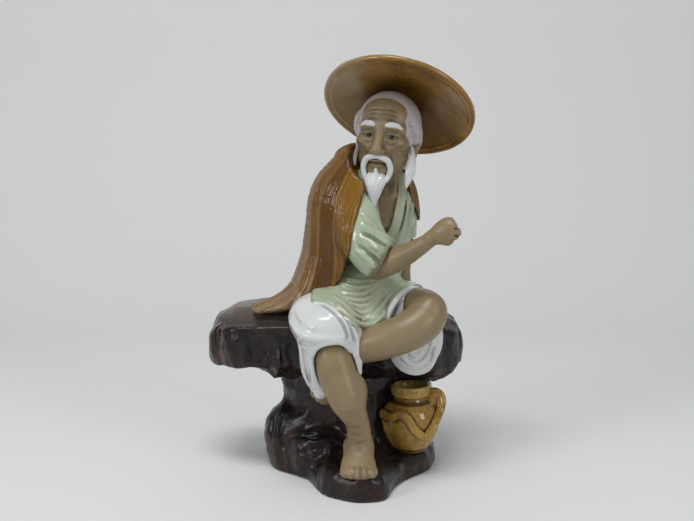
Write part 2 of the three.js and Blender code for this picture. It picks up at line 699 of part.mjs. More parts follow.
function rockBase() {
  const pillarTop = SEAT_HEIGHT - LEDGE_THICKNESS - LUTE_GAP;
  const corners = new THREE.CatmullRomCurve3(
    baseOutline.map(([x, y]) => at(BASE_CENTRE.x + x * BASE_LENGTH, BASE_CENTRE.y + y * BASE_DEPTH, 0)),
    true,
  ).getPoints(48).slice(0, -1);
  const shelves = prism(corners, -SLAB_HEIGHT, SLAB_HEIGHT - SLAB_ROUNDING, {
    bevelEnabled: true,
    bevelThickness: SLAB_ROUNDING,
    bevelSize: SLAB_ROUNDING,
    bevelOffset: -SLAB_ROUNDING,
    bevelSegments: 2,
  });
  const lumps = boulders.map(([middle, wide, deep, tall]) => ball(middle, wide, deep, tall));
  const pillar = (inset, low, high) => limb(
    [
      [PILLAR_CENTRE.clone().setZ(low), PILLAR_HALF_WIDTH + 6 - inset, PILLAR_HALF_DEPTH + 3 - inset],
      [
        PILLAR_CENTRE.clone().setZ((low + high) * 0.58),
        PILLAR_HALF_WIDTH - 2.5 - inset,
        PILLAR_HALF_DEPTH - inset,
      ],
      [PILLAR_CENTRE.clone().setZ(high), PILLAR_HALF_WIDTH + 3 - inset, PILLAR_HALF_DEPTH + 2 - inset],
    ],
    { sides: 18, rings: 5, ends: 0.4 },
  );
  const belowLedge = box(at(-REACH, -REACH, -REACH), at(REACH, REACH, pillarTop));
  const rock = join(pillar(0, 0, pillarTop), shelves, ...lumps);
  const cavity = pillar(ROCK_WALL, -ROCK_WALL, pillarTop - 2 * ROCK_WALL);
  return cut(rock.intersect(belowLedge).intersect(aboveFloor), cavity);
}

// The ledge from the front, as shares of its length about the middle and of its thickness from below.
const ledgeFront = [
  [-0.5, 0.333], [-0.494, 0.595], [-0.456, 0.88], [-0.405, 1], [0.354, 1], [0.405, 0.964],
  [0.468, 0.786], [0.5, 0.5], [0.484, 0.238], [0.43, 0.095], [0.342, 0], [-0.203, 0],
  [-0.291, 0.083], [-0.443, 0.107], [-0.481, 0.19],
];

// The ledge from above, as shares of its length and depth about its middle.
const ledgePlan = [
  [-0.5, -0.004], [-0.475, -0.27], [-0.392, -0.433], [-0.253, -0.478], [-0.101, -0.456], [0.051, -0.5],
  [0.215, -0.47], [0.354, -0.485], [0.443, -0.344], [0.5, -0.122], [0.494, 0.174], [0.43, 0.396],
  [0.253, 0.47], [0.051, 0.5], [-0.19, 0.478], [-0.38, 0.426], [-0.475, 0.248],
];

// Flat chips off the ledge: a place on each in the same shares, and the way that it faces.
const ledgeChips = [
  [at(0.025, -0.122, 1), at(0, -0.33, 0.944)],
  [at(0.025, -0.359, 0.107), at(0, -0.6, -0.8)],
  [at(0.025, 0.352, 0.024), at(0, 0.6, -0.8)],
  [at(-0.43, -0.33, 0.38), at(-0.62, -0.7, -0.2)],
  [at(-0.468, -0.211, 0.81), at(-0.72, -0.4, 0.6)],
  [at(-0.354, -0.463, 0.238), at(-0.25, -0.85, -0.5)],
  [at(-0.278, -0.469, 0.762), at(-0.12, -0.92, 0.36)],
  [at(0.418, -0.419, 0.238), at(0.5, -0.72, -0.5)],
  [at(0.456, -0.3, 0.762), at(0.6, -0.5, 0.62)],
  [at(0.481, 0.144, 0.286), at(0.85, 0.3, -0.45)],
  [at(-0.418, 0.381, 0.333), at(-0.5, 0.8, -0.35)],
  [at(0.316, 0.441, 0.81), at(0.4, 0.75, 0.55)],
  [at(-0.101, 0.478, 0.857), at(-0.1, 0.85, 0.5)],
  [at(-0.342, 0.411, 0.857), at(-0.4, 0.7, 0.6)],
];

function rockLedge() {
  const underside = SEAT_HEIGHT - LEDGE_THICKNESS;
  const inLedge = (x, y, up) => at(
    LEDGE_CENTRE.x + x * LEDGE_LENGTH,
    LEDGE_CENTRE.y + y * LEDGE_DEPTH,
    underside + up * LEDGE_THICKNESS,
  );
  const front = prism(ledgeFront.map(([x, up]) => {
    const { x: across, z } = inLedge(x, 0, up);
    return new THREE.Vector2(across, z);
  }), -REACH, REACH).rotate([90, 0, 0]);
  const plan = prism(ledgePlan.map(([x, y]) => inLedge(x, y, 0)), underside, SEAT_HEIGHT);
  const chips = ledgeChips.map(([{ x, y, z }, way]) => [inLedge(x, y, z), way]);
  return chipped(front.intersect(plan), chips);
}

// Assembly: each piece is cut back from the ones that it was luted to, innermost first

const gap = LUTE_GAP;
const figure = new THREE.Group();

function place(name, body, material, parent = figure) {
  const mesh = new THREE.Mesh(geometryOf(body), material.clone());
  mesh.name = name;
  parent.add(mesh);
  return mesh;
}

const headShell = inWorld(join(skull(gap), ear(-1, gap), ear(1, gap)));
const beardShell = inWorld(join(moustache(gap), goatee(gap)));
const lockShell = inWorld(join(sidelock(-1, gap), sidelock(1, gap)));
const hairShell = inWorld(hairCap(gap));
const legShell = join(rightLeg(gap), leftLeg(gap));
const armShell = join(rightForearm(gap), rightFist(gap), leftForearm(gap), leftHand(gap));
const trouserShell = join(rightTrouser(gap), leftTrouser(gap));
const lapelShell = join(lapel(-1, gap), lapel(1, gap));
const sleeveShell = join(rightSleeve(gap), leftSleeve(gap));

place('right_leg', cut(rightLeg(0), rightFoot(gap)), BARE_CLAY);
place('right_foot', rightFoot(0), BARE_CLAY);
place('left_leg', cut(leftLeg(0), rightLeg(gap)), BARE_CLAY);
place('left_foot', cut(leftFoot(0), legShell), BARE_CLAY);
place('chest', cut(chest(0), headShell, beardShell, legShell), BARE_CLAY);

place('right_trouser_leg', cut(rightTrouser(0), legShell, leftFoot(gap), chest(gap)), WHITE_GLAZE);
place('left_trouser_leg', cut(leftTrouser(0), legShell, chest(gap), rightTrouser(gap)), WHITE_GLAZE);

place('right_forearm', cut(rightForearm(0), rightFist(gap), chest(gap)), BARE_CLAY);
place('right_fist', rightFist(0), BARE_CLAY);
place('left_forearm', cut(leftForearm(0), leftHand(gap), chest(gap), trouserShell), BARE_CLAY);
place('left_hand', cut(leftHand(0), trouserShell, legShell, chest(gap)), BARE_CLAY);

const underLapels = [chest(gap), headShell, beardShell];
place('right_lapel', cut(lapel(-1, 0), ...underLapels), CELADON_GLAZE);
place('left_lapel', cut(lapel(1, 0), ...underLapels, lapel(-1, gap)), CELADON_GLAZE);
place(
  'tunic',
  cut(tunic(0), neckline(), chest(gap), lapelShell, legShell, trouserShell, armShell, headShell, beardShell),
  CELADON_GLAZE,
);
place('tunic_skirt', cut(skirt(0), tunic(gap), legShell, trouserShell, armShell), CELADON_GLAZE);
place(
  'right_sleeve',
  cut(rightSleeve(0), tunic(gap), armShell, lapelShell, headShell, lockShell, beardShell, skirt(gap)),
  CELADON_GLAZE,
);
place(
  'left_sleeve',
  cut(leftSleeve(0), tunic(gap), armShell, lapelShell, headShell, lockShell),
  CELADON_GLAZE,
);

const hatAndHead = [headShell, hairShell, lockShell, beardShell];
place(
  'cape',
  cut(
    capeEnvelope(0), capeOpening(), ...hatAndHead, tunic(gap), chest(gap), sleeveShell, lapelShell,
    armShell, trouserShell, legShell, skirt(gap),
  ),
  AMBER_GLAZE,
);

place('head', skull(0), BARE_CLAY, headFrame);
for (const [name, side] of [['right', -1], ['left', 1]]) {
  place(`${name}_ear`, cut(ear(side, 0), skull(gap)), BARE_CLAY, headFrame);
  place(`${name}_eyebrow`, cut(eyebrow(side, 0), skull(gap)), WHITE_GLAZE, headFrame);
  const lock = cut(sidelock(side, 0), skull(gap), ear(side, gap), inHead(chest(gap)));
  place(`${name}_sidelock`, lock, WHITE_GLAZE, headFrame);
}
const hair = cut(hairCap(0), skull(gap), ear(-1, gap), ear(1, gap), inHead(lockShell));
place('hair', hair, WHITE_GLAZE, headFrame);
place('moustache', cut(moustache(0), skull(gap), inHead(chest(gap))), WHITE_GLAZE, headFrame);
place('goatee', cut(goatee(0), skull(gap), moustache(gap)), WHITE_GLAZE, headFrame);
figure.add(headFrame);

const hatInverse = hatFrame.matrix.clone().invert().elements;
place('hat', cut(hatShell(), ...hatAndHead.map((body) => body.transform(hatInverse))), AMBER_GLAZE, hatFrame);
figure.add(hatFrame);

place('jar', jarBody(), JAR_GLAZE, jarFrame);
place('jar_sling', cut(jarSling(0), jarEnvelope(gap)), JAR_GLAZE, jarFrame);
figure.add(jarFrame);

const jarInWorld = join(jarEnvelope(gap), jarSling(gap)).transform(jarFrame.matrix.elements);
place('rock_base', cut(rockBase(), jarInWorld, rightFoot(gap), rightLeg(gap)), ROCK_GLAZE);
place(
  'rock_ledge',
  cut(
    rockLedge(), capeEnvelope(gap), trouserShell, legShell, leftFoot(gap), chest(gap), tunic(gap), skirt(gap),
    leftHand(gap), jarInWorld,
  ),
  ROCK_GLAZE,
);

// The origin is on the floor, under the middle of the whole figure.
const bounds = new THREE.Box3().setFromObject(figure, true);
const middle = bounds.getCenter(new THREE.Vector3());
figure.position.set(-middle.x, -middle.y, -bounds.min.z);

export default figure;
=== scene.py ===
"""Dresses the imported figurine: modelled clay, painted glazes, studio light and camera.

The clay is modelled as distance fields in millimetres, in the maker's frame: X to the viewer's right, Y away
from the viewer and Z up from the floor. Each field is cast into a closed mesh, and moves to the part's frame.
"""
import copy
import math
from concurrent.futures import ThreadPoolExecutor

import bpy
import numpy as np
import openvdb
from mathutils import Matrix, Vector

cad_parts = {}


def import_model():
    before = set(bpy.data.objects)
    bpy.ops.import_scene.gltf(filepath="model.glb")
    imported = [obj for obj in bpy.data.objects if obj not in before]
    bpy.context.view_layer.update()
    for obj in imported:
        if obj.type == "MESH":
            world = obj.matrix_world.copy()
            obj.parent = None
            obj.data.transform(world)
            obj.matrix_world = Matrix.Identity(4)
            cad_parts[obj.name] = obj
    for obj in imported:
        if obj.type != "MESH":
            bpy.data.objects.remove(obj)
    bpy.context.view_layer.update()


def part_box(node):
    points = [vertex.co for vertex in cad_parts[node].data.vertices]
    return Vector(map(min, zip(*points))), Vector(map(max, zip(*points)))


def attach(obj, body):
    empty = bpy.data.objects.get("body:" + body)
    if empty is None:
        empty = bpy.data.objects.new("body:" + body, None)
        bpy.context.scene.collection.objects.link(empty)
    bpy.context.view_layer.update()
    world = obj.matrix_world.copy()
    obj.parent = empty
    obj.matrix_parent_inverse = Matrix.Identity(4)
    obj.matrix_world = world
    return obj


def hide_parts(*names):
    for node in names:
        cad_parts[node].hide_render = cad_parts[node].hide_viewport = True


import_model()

# Sizes in millimetres

MM = 0.001
SEAT = 98.0
SHELF = 14.0
JAR_AXIS = (42.0, -6.0)
JAR_FOOT = 13.5
HEAD_CENTRE = (27.0, -2.0, 203.0)
HEAD_TURN = math.radians(-17)
HEAD_ROLL = math.radians(6)
HEAD_BREADTH = 1.06
HAT_CENTRE = (33.7, -2.0, 219.0)
HAT_AXIS = (0.244, 0.532, 0.811)
HAT_RADIUS = 45.5
HAT_RISE = 17.0
HAT_THICKNESS = 3.6

# Camera, in the maker's frame

EYE = (3.3, -520.0, 195.0)
EYE_PITCH = math.radians(7.29)
FOCAL_PIXELS = 869.0
PICTURE = (694.0, 521.0)

COARSE = 1.0
BLOCK = 8
BATCH = 600
HALF_DIAGONAL = 0.87
FIELD_MARGIN = 1.15
FAR = 1e9
TINY = 1e-6
NOTHING = 1e-9


def frame_shift():
    """Step from the maker's frame to the part's, in millimetres, read from the jar's place in the part."""
    low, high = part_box("jar")
    return np.array([
        (low[0] + high[0]) / 2 / MM - JAR_AXIS[0],
        (low[1] + high[1]) / 2 / MM - JAR_AXIS[1],
        low[2] / MM - JAR_FOOT,
    ])


SHIFT = frame_shift()


# Clay as distance fields: each takes points as rows and gives the distance to the surface, negative inside

def step(value, low, high):
    """Smooth rise from 0 at low to 1 at high."""
    share = np.clip((value - low) / (high - low), 0, 1)
    return share * share * (3 - 2 * share)


def melt(a, b, soft):
    """Union of two fields with a rounded seam."""
    share = np.clip(0.5 + 0.5 * (b - a) / soft, 0, 1)
    return b + (a - b) * share - soft * share * (1 - share)


def carve(a, b, soft):
    """Field a with b cut away, with a rounded edge."""
    return -melt(-a, b, soft)


def meet(a, b, soft):
    """The part of a that is also in b, with a rounded edge."""
    return -melt(-a, -b, soft)


def melted(d, p, fields, soft):
    """A field with others melted onto it in turn."""
    for field in fields:
        d = melt(d, field(p), soft)
    return d


def carved(d, p, fields, soft):
    """A field with others cut from it in turn."""
    for field in fields:
        d = carve(d, field(p), soft)
    return d


def egg(centre, radii):
    """A lump with three radii."""
    centre = np.array(centre, np.float32)
    radii = np.array(radii, np.float32)

    def field(p):
        q = (p - centre) / radii
        near = np.sqrt(np.einsum("ij,ij->i", q, q)) + TINY
        q /= radii
        slope = np.sqrt(np.einsum("ij,ij->i", q, q)) + TINY
        return near * (near - 1) / slope
    return field


def smooth_path(stations, count):
    """Stations joined by a smooth curve, as count + 1 rows."""
    stations = np.array(stations, np.float64)
    ends = np.vstack([2 * stations[0] - stations[1], stations, 2 * stations[-1] - stations[-2]])
    rows = []
    for share in np.linspace(0, len(stations) - 1, count + 1):
        i = min(int(share), len(stations) - 2)
        t = share - i
        a, b, c, d = ends[i:i + 4]
        rows.append(0.5 * (2 * b + (c - a) * t + (2 * a - 5 * b + 4 * c - d) * t * t
                           + (3 * b - a - 3 * c + d) * t * t * t))
    return np.array(rows, np.float32)


def from_line(p, start, end):
    """Share of the way along a straight line that is nearest to each point, and the step from there."""
    run = end - start
    off = p - start
    share = np.clip(off @ (run / (run @ run)), 0, 1)
    return share, off - share[:, None] * run


class Limb:
    """A rolled length of clay with an oval section. Each station is x, y, z, half-width and half-depth."""

    def __init__(self, stations, facing=(0, -1, 0), bends=12, ends=1.0):
        stations = [tuple(s) + (s[3],) * (5 - len(s)) for s in stations]
        path = smooth_path(stations, bends)
        self.places = path[:, :3]
        self.halves = np.maximum(path[:, 3:5], 0.2)
        self.ends = ends
        forward = np.gradient(self.places, axis=0)
        forward /= np.linalg.norm(forward, axis=1)[:, None]
        deep = np.array(facing, np.float32) - (forward @ np.array(facing, np.float32))[:, None] * forward
        deep /= np.linalg.norm(deep, axis=1)[:, None]
        self.frames = np.hstack([np.cross(forward, deep), deep, forward]).astype(np.float32)

    def grown(self, extra):
        """The same length of clay, thicker all round."""
        other = copy.copy(self)
        other.halves = self.halves + np.float32(extra)
        return other

    def locate(self, p):
        """Share of the path that is nearest, the steps across, deep and along from it, and its half-sizes."""
        best = np.full(len(p), FAR, np.float32)
        where = np.zeros(len(p), np.float32)
        for i in range(len(self.places) - 1):
            t, off = from_line(p, self.places[i], self.places[i + 1])
            gap = np.einsum("ij,ij->i", off, off)
            closer = gap < best
            best[closer] = gap[closer]
            where[closer] = i + t[closer]
        i = np.minimum(where.astype(np.int32), len(self.places) - 2)
        t = (where - i)[:, None]
        off = p - (self.places[i] * (1 - t) + self.places[i + 1] * t)
        axes = self.frames[i] * (1 - t) + self.frames[i + 1] * t
        halves = self.halves[i] * (1 - t) + self.halves[i + 1] * t
        local = [np.einsum("ij,ij->i", off, axes[:, k:k + 3]) for k in (0, 3, 6)]
        return where / (len(self.places) - 1), local, halves

    def __call__(self, p):
        _, (across, deep, along), halves = self.locate(p)
        wide, thick = halves[:, 0], halves[:, 1]
        reach = np.minimum(wide, thick) * self.ends
        a, b, c = across / wide, deep / thick, along / reach
        near = np.sqrt(a * a + b * b + c * c) + TINY
        slope = np.sqrt((a / wide) ** 2 + (b / thick) ** 2 + (c / reach) ** 2) + TINY
        return near * (near - 1) / slope

    def grain(self, p):
        """Share along the path and angle round it, for strands that run along the clay."""
        where, (across, deep, _), halves = self.locate(p)
        return where, np.arctan2(deep / halves[:, 1], across / halves[:, 0])


def roll(points, radius, bends=3):
    """A thin roll of clay through points, thinning to its ends, for folds and for scored lines."""
    places = smooth_path(points, bends * (len(points) - 1))
    girth = np.sin(np.linspace(0.12, 0.88, len(places)) * np.pi).astype(np.float32) ** 0.6 * radius
    low = places.min(axis=0) - 4 * radius - 3
    high = places.max(axis=0) + 4 * radius + 3

    def field(p):
        found = np.full(len(p), 50, np.float32)
        inside = np.all((p > low) & (p < high), axis=1)
        q = p[inside]
        best = found[inside]
        for i in range(len(places) - 1):
            t, off = from_line(q, places[i], places[i + 1])
            gap = np.sqrt(np.einsum("ij,ij->i", off, off)) - girth[i] - (girth[i + 1] - girth[i]) * t
            np.minimum(best, gap, out=best)
        found[inside] = best
        return found
    return field


def folded(base, ridges=(), grooves=(), soft=2.0):
    """A field with raised folds and scored grooves."""
    def field(p):
        raised = melted(base(p), p, ridges, soft)
        return carved(raised, p, grooves, soft * 0.6)
    return field


SCATTER = [np.uint32(prime) for prime in (374761393, 668265263, 2246822519, 1274126177)]


def hashed(ix, iy, iz, seed):
    """Repeatable random numbers from -1 to 1, one for each lattice corner."""
    h = ix * SCATTER[0] + iy * SCATTER[1] + iz * SCATTER[2] + np.uint32(seed * 97)
    h = (h ^ (h >> np.uint32(13))) * SCATTER[3]
    h = h ^ (h >> np.uint32(16))
    return (h & np.uint32(65535)).astype(np.float32) / 32767.5 - 1


def noise(p, size, seed=0):
    """Smooth random waves, with one size for all ways or one for each."""
    q = p / np.array(size, np.float32)
    base = np.floor(q)
    t = (q - base).astype(np.float32)
    t = t * t * t * (t * (t * 6 - 15) + 10)
    corner = base.astype(np.int32).astype(np.uint32)
    total = np.zeros(len(p), np.float32)
    for dx in (0, 1):
        wx = t[:, 0] if dx else 1 - t[:, 0]
        for dy in (0, 1):
            wy = t[:, 1] if dy else 1 - t[:, 1]
            for dz in (0, 1):
                wz = t[:, 2] if dz else 1 - t[:, 2]
                ix, iy, iz = (corner[:, k] + np.uint32(d) for k, d in enumerate((dx, dy, dz)))
                total += wx * wy * wz * hashed(ix, iy, iz, seed)
    return total


def rough(p, size, seed=0, layers=3):
    """Random waves in layers, each half as large as the one before."""
    total = np.zeros(len(p), np.float32)
    for i in range(layers):
        total += noise(p, np.array(size) / 2 ** i, seed + i) / 2 ** i
    return total


def strands(across, along, seed, wander=0.35):
    """Height of combed strands, one strand to each unit across, from 0 in the gaps to 1 on the backs."""
    place = np.column_stack([across * 0.45, along, np.zeros_like(across)]).astype(np.float32)
    u = across + wander * noise(place, 1.0, seed)
    share = u - np.floor(u) - 0.5
    number = np.floor(u).astype(np.int32).astype(np.uint32)
    zero = np.zeros_like(number)
    proud = 0.75 + 0.25 * hashed(number, zero, zero, seed + 5)
    return (1 - 4 * share * share) * proud


# Paths drawn in the picture's frame, or from the front, and laid on the clay

SIGHT_STEPS = 110
SIGHT_CARE = 0.75
LONGEST_STEP = 5
WORST_MISS = 4
SIGHT_START = 380.0
FRONT_START = -90


def sight(px, py):
    """Way that a pixel of the picture looks, as a unit step."""
    right = (px - PICTURE[0] / 2) / FOCAL_PIXELS
    up = (PICTURE[1] / 2 - py) / FOCAL_PIXELS
    c, s = math.cos(EYE_PITCH), math.sin(EYE_PITCH)
    way = np.array([right, c + up * s, -s + up * c])
    return way / np.linalg.norm(way)


def traced(base, starts, ways, reach):
    """Places where straight lines first meet a field, or where they pass it most closely."""
    gone = np.full(len(ways), float(reach))
    nearest = np.full(len(ways), FAR)
    places = np.zeros((len(ways), 3))
    for _ in range(SIGHT_STEPS):
        spots = starts + ways * gone[:, None]
        gap = base(spots.astype(np.float32))
        closer = np.abs(gap) < nearest
        nearest[closer] = np.abs(gap)[closer]
        places[closer] = spots[closer]
        gone += np.clip(gap * SIGHT_CARE, -LONGEST_STEP, LONGEST_STEP)
    if nearest.max() > WORST_MISS:
        raise ValueError(f"a line misses the clay by {nearest.max():.1f} mm")
    return places


def laid(base, pixels):
    """Places where the lines of sight through pixels first meet a field."""
    ways = np.array([sight(*pixel) for pixel in pixels])
    return traced(base, np.array(EYE), ways, SIGHT_START)


def faced(base, spots):
    """Places on the front of a field at the given x and z."""
    starts = np.array([(x, FRONT_START, z) for x, z in spots], float)
    return traced(base, starts, np.tile([0.0, 1.0, 0.0], (len(starts), 1)), 0)


def fold(base, pixels, radius, sink=0.5):
    """A roll laid along a drawn path and pressed in by a share of its radius."""
    places = laid(base, pixels)
    way = np.array([sight(*pixel) for pixel in pixels])
    return roll(places + way * radius * sink, radius)


def score(base, pixels, radius):
    """A shallow groove along a drawn path: most of the roll that scores it stays outside the clay."""
    return fold(base, pixels, radius, sink=-0.45)


def folds(base, drawn, sink=0.5):
    """Folds along drawn paths, each with its radius."""
    return [fold(base, path, radius, sink) for path, radius in drawn]


def scores(base, drawn):
    """Grooves along drawn paths, each with its radius."""
    return [score(base, path, radius) for path, radius in drawn]


def front_fold(base, spots, radius, sink=0.5, bends=3):
    """A roll laid on the front of a field and pressed in by a share of its radius."""
    return roll(faced(base, spots) + np.array([0, radius * sink, 0]), radius, bends)


def cut_plane(places, keep):
    """Half-space bounded by the plane through three places, on the side of a place to keep."""
    a, b, c = np.array(places, np.float64)
    normal = np.cross(b - a, c - a)
    normal /= np.linalg.norm(normal)
    if (np.array(keep) - a) @ normal > 0:
        normal = -normal
    normal = normal.astype(np.float32)
    a = a.astype(np.float32)
    return lambda p: (p - a) @ normal


def split(whole, place, way, lap=1.5):
    """Two fields that share one surface: the part before a plane, which laps under, and the part after."""
    place = np.array(place, np.float32)
    way = np.array(way, np.float32) / np.float32(np.linalg.norm(way))

    def before(p):
        past = (p - place) @ way
        return np.maximum(whole(p) + 0.25 * step(past, 0.3, lap), past - lap)

    def after(p):
        return np.maximum(whole(p), (place - p) @ way)
    return before, after


def chipped(d, p, chips):
    """A field with flat chips knocked off, each a place on the chip and the way that it faces."""
    for place, way in chips:
        way = np.array(way, np.float32) / np.float32(np.linalg.norm(way))
        d = meet(d, (p - np.array(place, np.float32)) @ way, 1.6)
    return d


def outline(corners, bends=4):
    """Distance to a closed, smooth outline drawn on a plane, negative inside."""
    corners = list(corners)
    looped = corners[-2:] + corners + corners[:2]
    curve = smooth_path(looped, bends * (len(looped) - 1))[2 * bends:-bends - 1]

    def field(a, b):
        best = np.full(len(a), FAR, np.float32)
        inside = np.zeros(len(a), bool)
        for (ax, ay), (bx, by) in zip(curve, np.roll(curve, -1, axis=0)):
            rx, ry = bx - ax, by - ay
            length = rx * rx + ry * ry
            if length < NOTHING:
                continue
            ox, oy = a - ax, b - ay
            t = np.clip((ox * rx + oy * ry) / length, 0, 1)
            np.minimum(best, (ox - t * rx) ** 2 + (oy - t * ry) ** 2, out=best)
            crosses = (ay > b) != (by > b)
            inside ^= crosses & (ox < rx * oy / (ry if abs(ry) > NOTHING else NOTHING))
        return np.where(inside, -1, 1) * np.sqrt(best)
    return field


# Casting a field into a mesh

def cast(field, low, high, voxel, slack=1.5):
    """Surface of a field as points and four-sided faces that point out."""
    voxel = voxel * COARSE
    low = np.array(low, np.float64) - 2 * voxel
    counts = np.ceil((np.array(high) + 2 * voxel - low) / (voxel * BLOCK)).astype(int)
    cells = np.indices(counts).reshape(3, -1).T
    centres = low + (cells * BLOCK + (BLOCK - 1) / 2) * voxel
    guess = field(centres.astype(np.float32))
    reach = HALF_DIAGONAL * voxel * BLOCK * FIELD_MARGIN + slack
    values = np.where(guess < 0, -reach, reach).astype(np.float32).reshape(counts)
    for axis in range(3):
        values = values.repeat(BLOCK, axis=axis)
    blocks = values.reshape(counts[0], BLOCK, counts[1], BLOCK, counts[2], BLOCK)
    inner = np.indices((BLOCK,) * 3).reshape(3, -1).T
    near = cells[np.abs(guess) < reach]
    for start in range(0, len(near), BATCH):
        some = near[start:start + BATCH]
        corner = (some[:, None, :] * BLOCK + inner[None, :, :]).reshape(-1, 3)
        found = field((low + corner * voxel).astype(np.float32)).reshape(-1, BLOCK, BLOCK, BLOCK)
        blocks[some[:, 0], :, some[:, 1], :, some[:, 2], :] = found
    grid = openvdb.FloatGrid(reach)
    grid.copyFromArray(values)
    points, quads = grid.convertToQuads(0.0)
    points = low + points * voxel
    return points, outward(points, quads)


def outward(points, faces):
    """Faces turned so that they point out of the clay."""
    a, b, c, d = (points[faces[:, k]] for k in range(4))
    volume = np.einsum("ij,ij->", np.cross(c - a, d - b), (a + b + c + d) / 4)
    return faces if volume > 0 else faces[:, ::-1]


def point_normals(points, faces):
    """The way that the surface faces at each point."""
    cross = np.cross(points[faces[:, 2]] - points[faces[:, 0]], points[faces[:, 3]] - points[faces[:, 1]])
    total = np.zeros_like(points)
    for k in range(4):
        for axis in range(3):
            total[:, axis] += np.bincount(faces[:, k], cross[:, axis], len(points))
    return total / (np.linalg.norm(total, axis=1)[:, None] + 1e-12)


def glaze_marks(field, points, faces, depth):
    """Where glaze pools in hollows and where it runs thin on edges, each from 0 to 1."""
    normals = point_normals(points, faces)
    outside = field((points + normals * depth).astype(np.float32))
    inside = field((points - normals * depth).astype(np.float32))
    return {
        "pool": np.clip(1 - outside / depth, 0, 1),
        "thin": np.clip(1 + inside / depth, 0, 1),
    }


def mesh_object(name, points, faces, marks):
    """A closed, smooth-shaded mesh in the part's frame, with its marks as point attributes."""
    mesh = bpy.data.meshes.new(name)
    mesh.vertices.add(len(points))
    mesh.vertices.foreach_set("co", ((points + SHIFT) * MM).astype(np.float32).ravel())
    mesh.loops.add(faces.size)
    mesh.loops.foreach_set("vertex_index", faces.astype(np.int32).ravel())
    mesh.polygons.add(len(faces))
    mesh.polygons.foreach_set("loop_start", np.arange(0, faces.size, faces.shape[1], dtype=np.int32))
    mesh.update(calc_edges=True)
    mesh.validate()
    mesh.shade_smooth()
    for mark, values in marks.items():
        layer = mesh.attributes.new(mark, "FLOAT", "POINT")
        layer.data.foreach_set("value", np.asarray(values, np.float32))
    piece = bpy.data.objects.new(name, mesh)
    bpy.context.collection.objects.link(piece)
    return piece


# Rock

LEDGE_FRONT_VIEW = [
    (-83, 70), (-82, 81), (-76, 93), (-66, 98.4), (-40, 100), (42, 99), (60, 96.5), (70, 89), (75, 77),
    (72.5, 66), (64, 60), (56, 55), (48, 52.5), (10, 52), (-14, 52), (-34, 54), (-46, 63), (-56, 66.5),
    (-74, 65), (-80, 66.5),
]
LEDGE_PLAN = [
    (-83, 14), (-79, -4), (-66, -15), (-44, -18), (-20, -16.5), (4, -19.5), (30, -17.5), (52, -18.5),
    (66, -9), (75, 6), (74, 26), (64, 41), (36, 46), (4, 48), (-34, 46.5), (-64, 43), (-79, 31),
]
LEDGE_CHIPS = [
    ((0, -10, 61), (0, -0.6, -0.8)), ((0, 38, 57), (0, 0.6, -0.8)), ((-72, -8, 72), (-0.62, -0.7, -0.2)),
    ((-78, 0, 90), (-0.72, -0.4, 0.6)), ((-60, -17, 66), (-0.25, -0.85, -0.5)),
    ((-48, -17.4, 88), (-0.12, -0.92, 0.36)), ((62, -14, 66), (0.5, -0.72, -0.5)),
    ((68, -6, 88), (0.6, -0.5, 0.62)), ((72, 24, 68), (0.85, 0.3, -0.45)),
    ((-70, 40, 70), (-0.5, 0.8, -0.35)), ((46, 44, 90), (0.4, 0.75, 0.55)),
    ((-20, 46.5, 92), (-0.1, 0.85, 0.5)), ((-58, 42, 92), (-0.4, 0.7, 0.6)),
]
BASE_PLAN = [
    (-50, 30), (-43, 9), (-38, -4), (-30, -14), (-20, -25), (-11, -46), (0, -55.5), (13, -59),
    (25, -54.5), (31, -38), (38, -25.5), (48, -16), (55.5, -4), (59, 14), (56, 32), (42, 45), (10, 47),
    (-28, 46), (-45, 42),
]
ledge_front_view = outline(LEDGE_FRONT_VIEW, 1)
ledge_plan = outline(LEDGE_PLAN, 1)
base_plan = outline(BASE_PLAN, 3)


def sharp(p, size, seed):
    """Random waves with sharp backs."""
    return 1 - 2.4 * np.abs(noise(p, size, seed))


def crag(p, size, seed):
    """Sharp-backed ridges of rock that run upright, from -1 to 1."""
    bent = p + 3.5 * noise(p, size * 1.6, seed + 7)[:, None]
    return sharp(bent, (size, size, size * 4.5), seed)


def rock_skin(p, upright, seed):
    """Relief of the rock: upright ridges in two sizes, broken lumps and a fine grain."""
    ridges = crag(p, 16, seed) * 1.2 + crag(p, 7, seed + 1) * 0.4
    lumps = sharp(p, 14, seed + 5) * 0.9 + sharp(p, 6, seed + 6) * 0.25
    return ridges * upright + lumps * (1 - 0.6 * upright) + rough(p, 4, seed + 3, 2) * 0.22


jar_mouth_room = egg((*JAR_AXIS, 50), (14.2, 14.2, 7))
LEDGE_CRACKS = [
    [(247, 334), (249, 347), (252, 360)], [(229, 336), (230, 350), (231, 361)],
    [(262, 338), (266, 352), (270, 368)], [(279, 340), (281, 356), (283, 370)],
    [(217, 328), (215, 340), (217, 350)], [(222, 325), (221, 340), (223, 354)],
]


SEAT_FALL = 8.5
SEAT_SLOPE = (12, -16)


def seat_fall(y):
    """How far the top of the ledge slopes down towards the viewer."""
    return SEAT_FALL * step(y, *SEAT_SLOPE)


def plain_ledge(p):
    """The ledge without its chips and cracks: the meeting of its outlines from the front and from above."""
    x, y, z = p[:, 0], p[:, 1], p[:, 2]
    front = ledge_front_view(x, z + seat_fall(y) * step(z, 74, 92))
    return meet(front, ledge_plan(x, y + 3 * step(-z, -70, -52)), 3)


ledge_cracks = [score(plain_ledge, path, 1.9) for path in LEDGE_CRACKS]


def rock_ledge(p):
    """The ledge, rough on its sides and smoother on top."""
    d = carved(chipped(plain_ledge(p), p, LEDGE_CHIPS), p, ledge_cracks, 1.0)
    top = step(p[:, 2] + seat_fall(p[:, 1]), 90, 97)
    return carve(d - rock_skin(p, 1 - top, 11) * (1 - 0.75 * top), jar_mouth_room(p), 2)


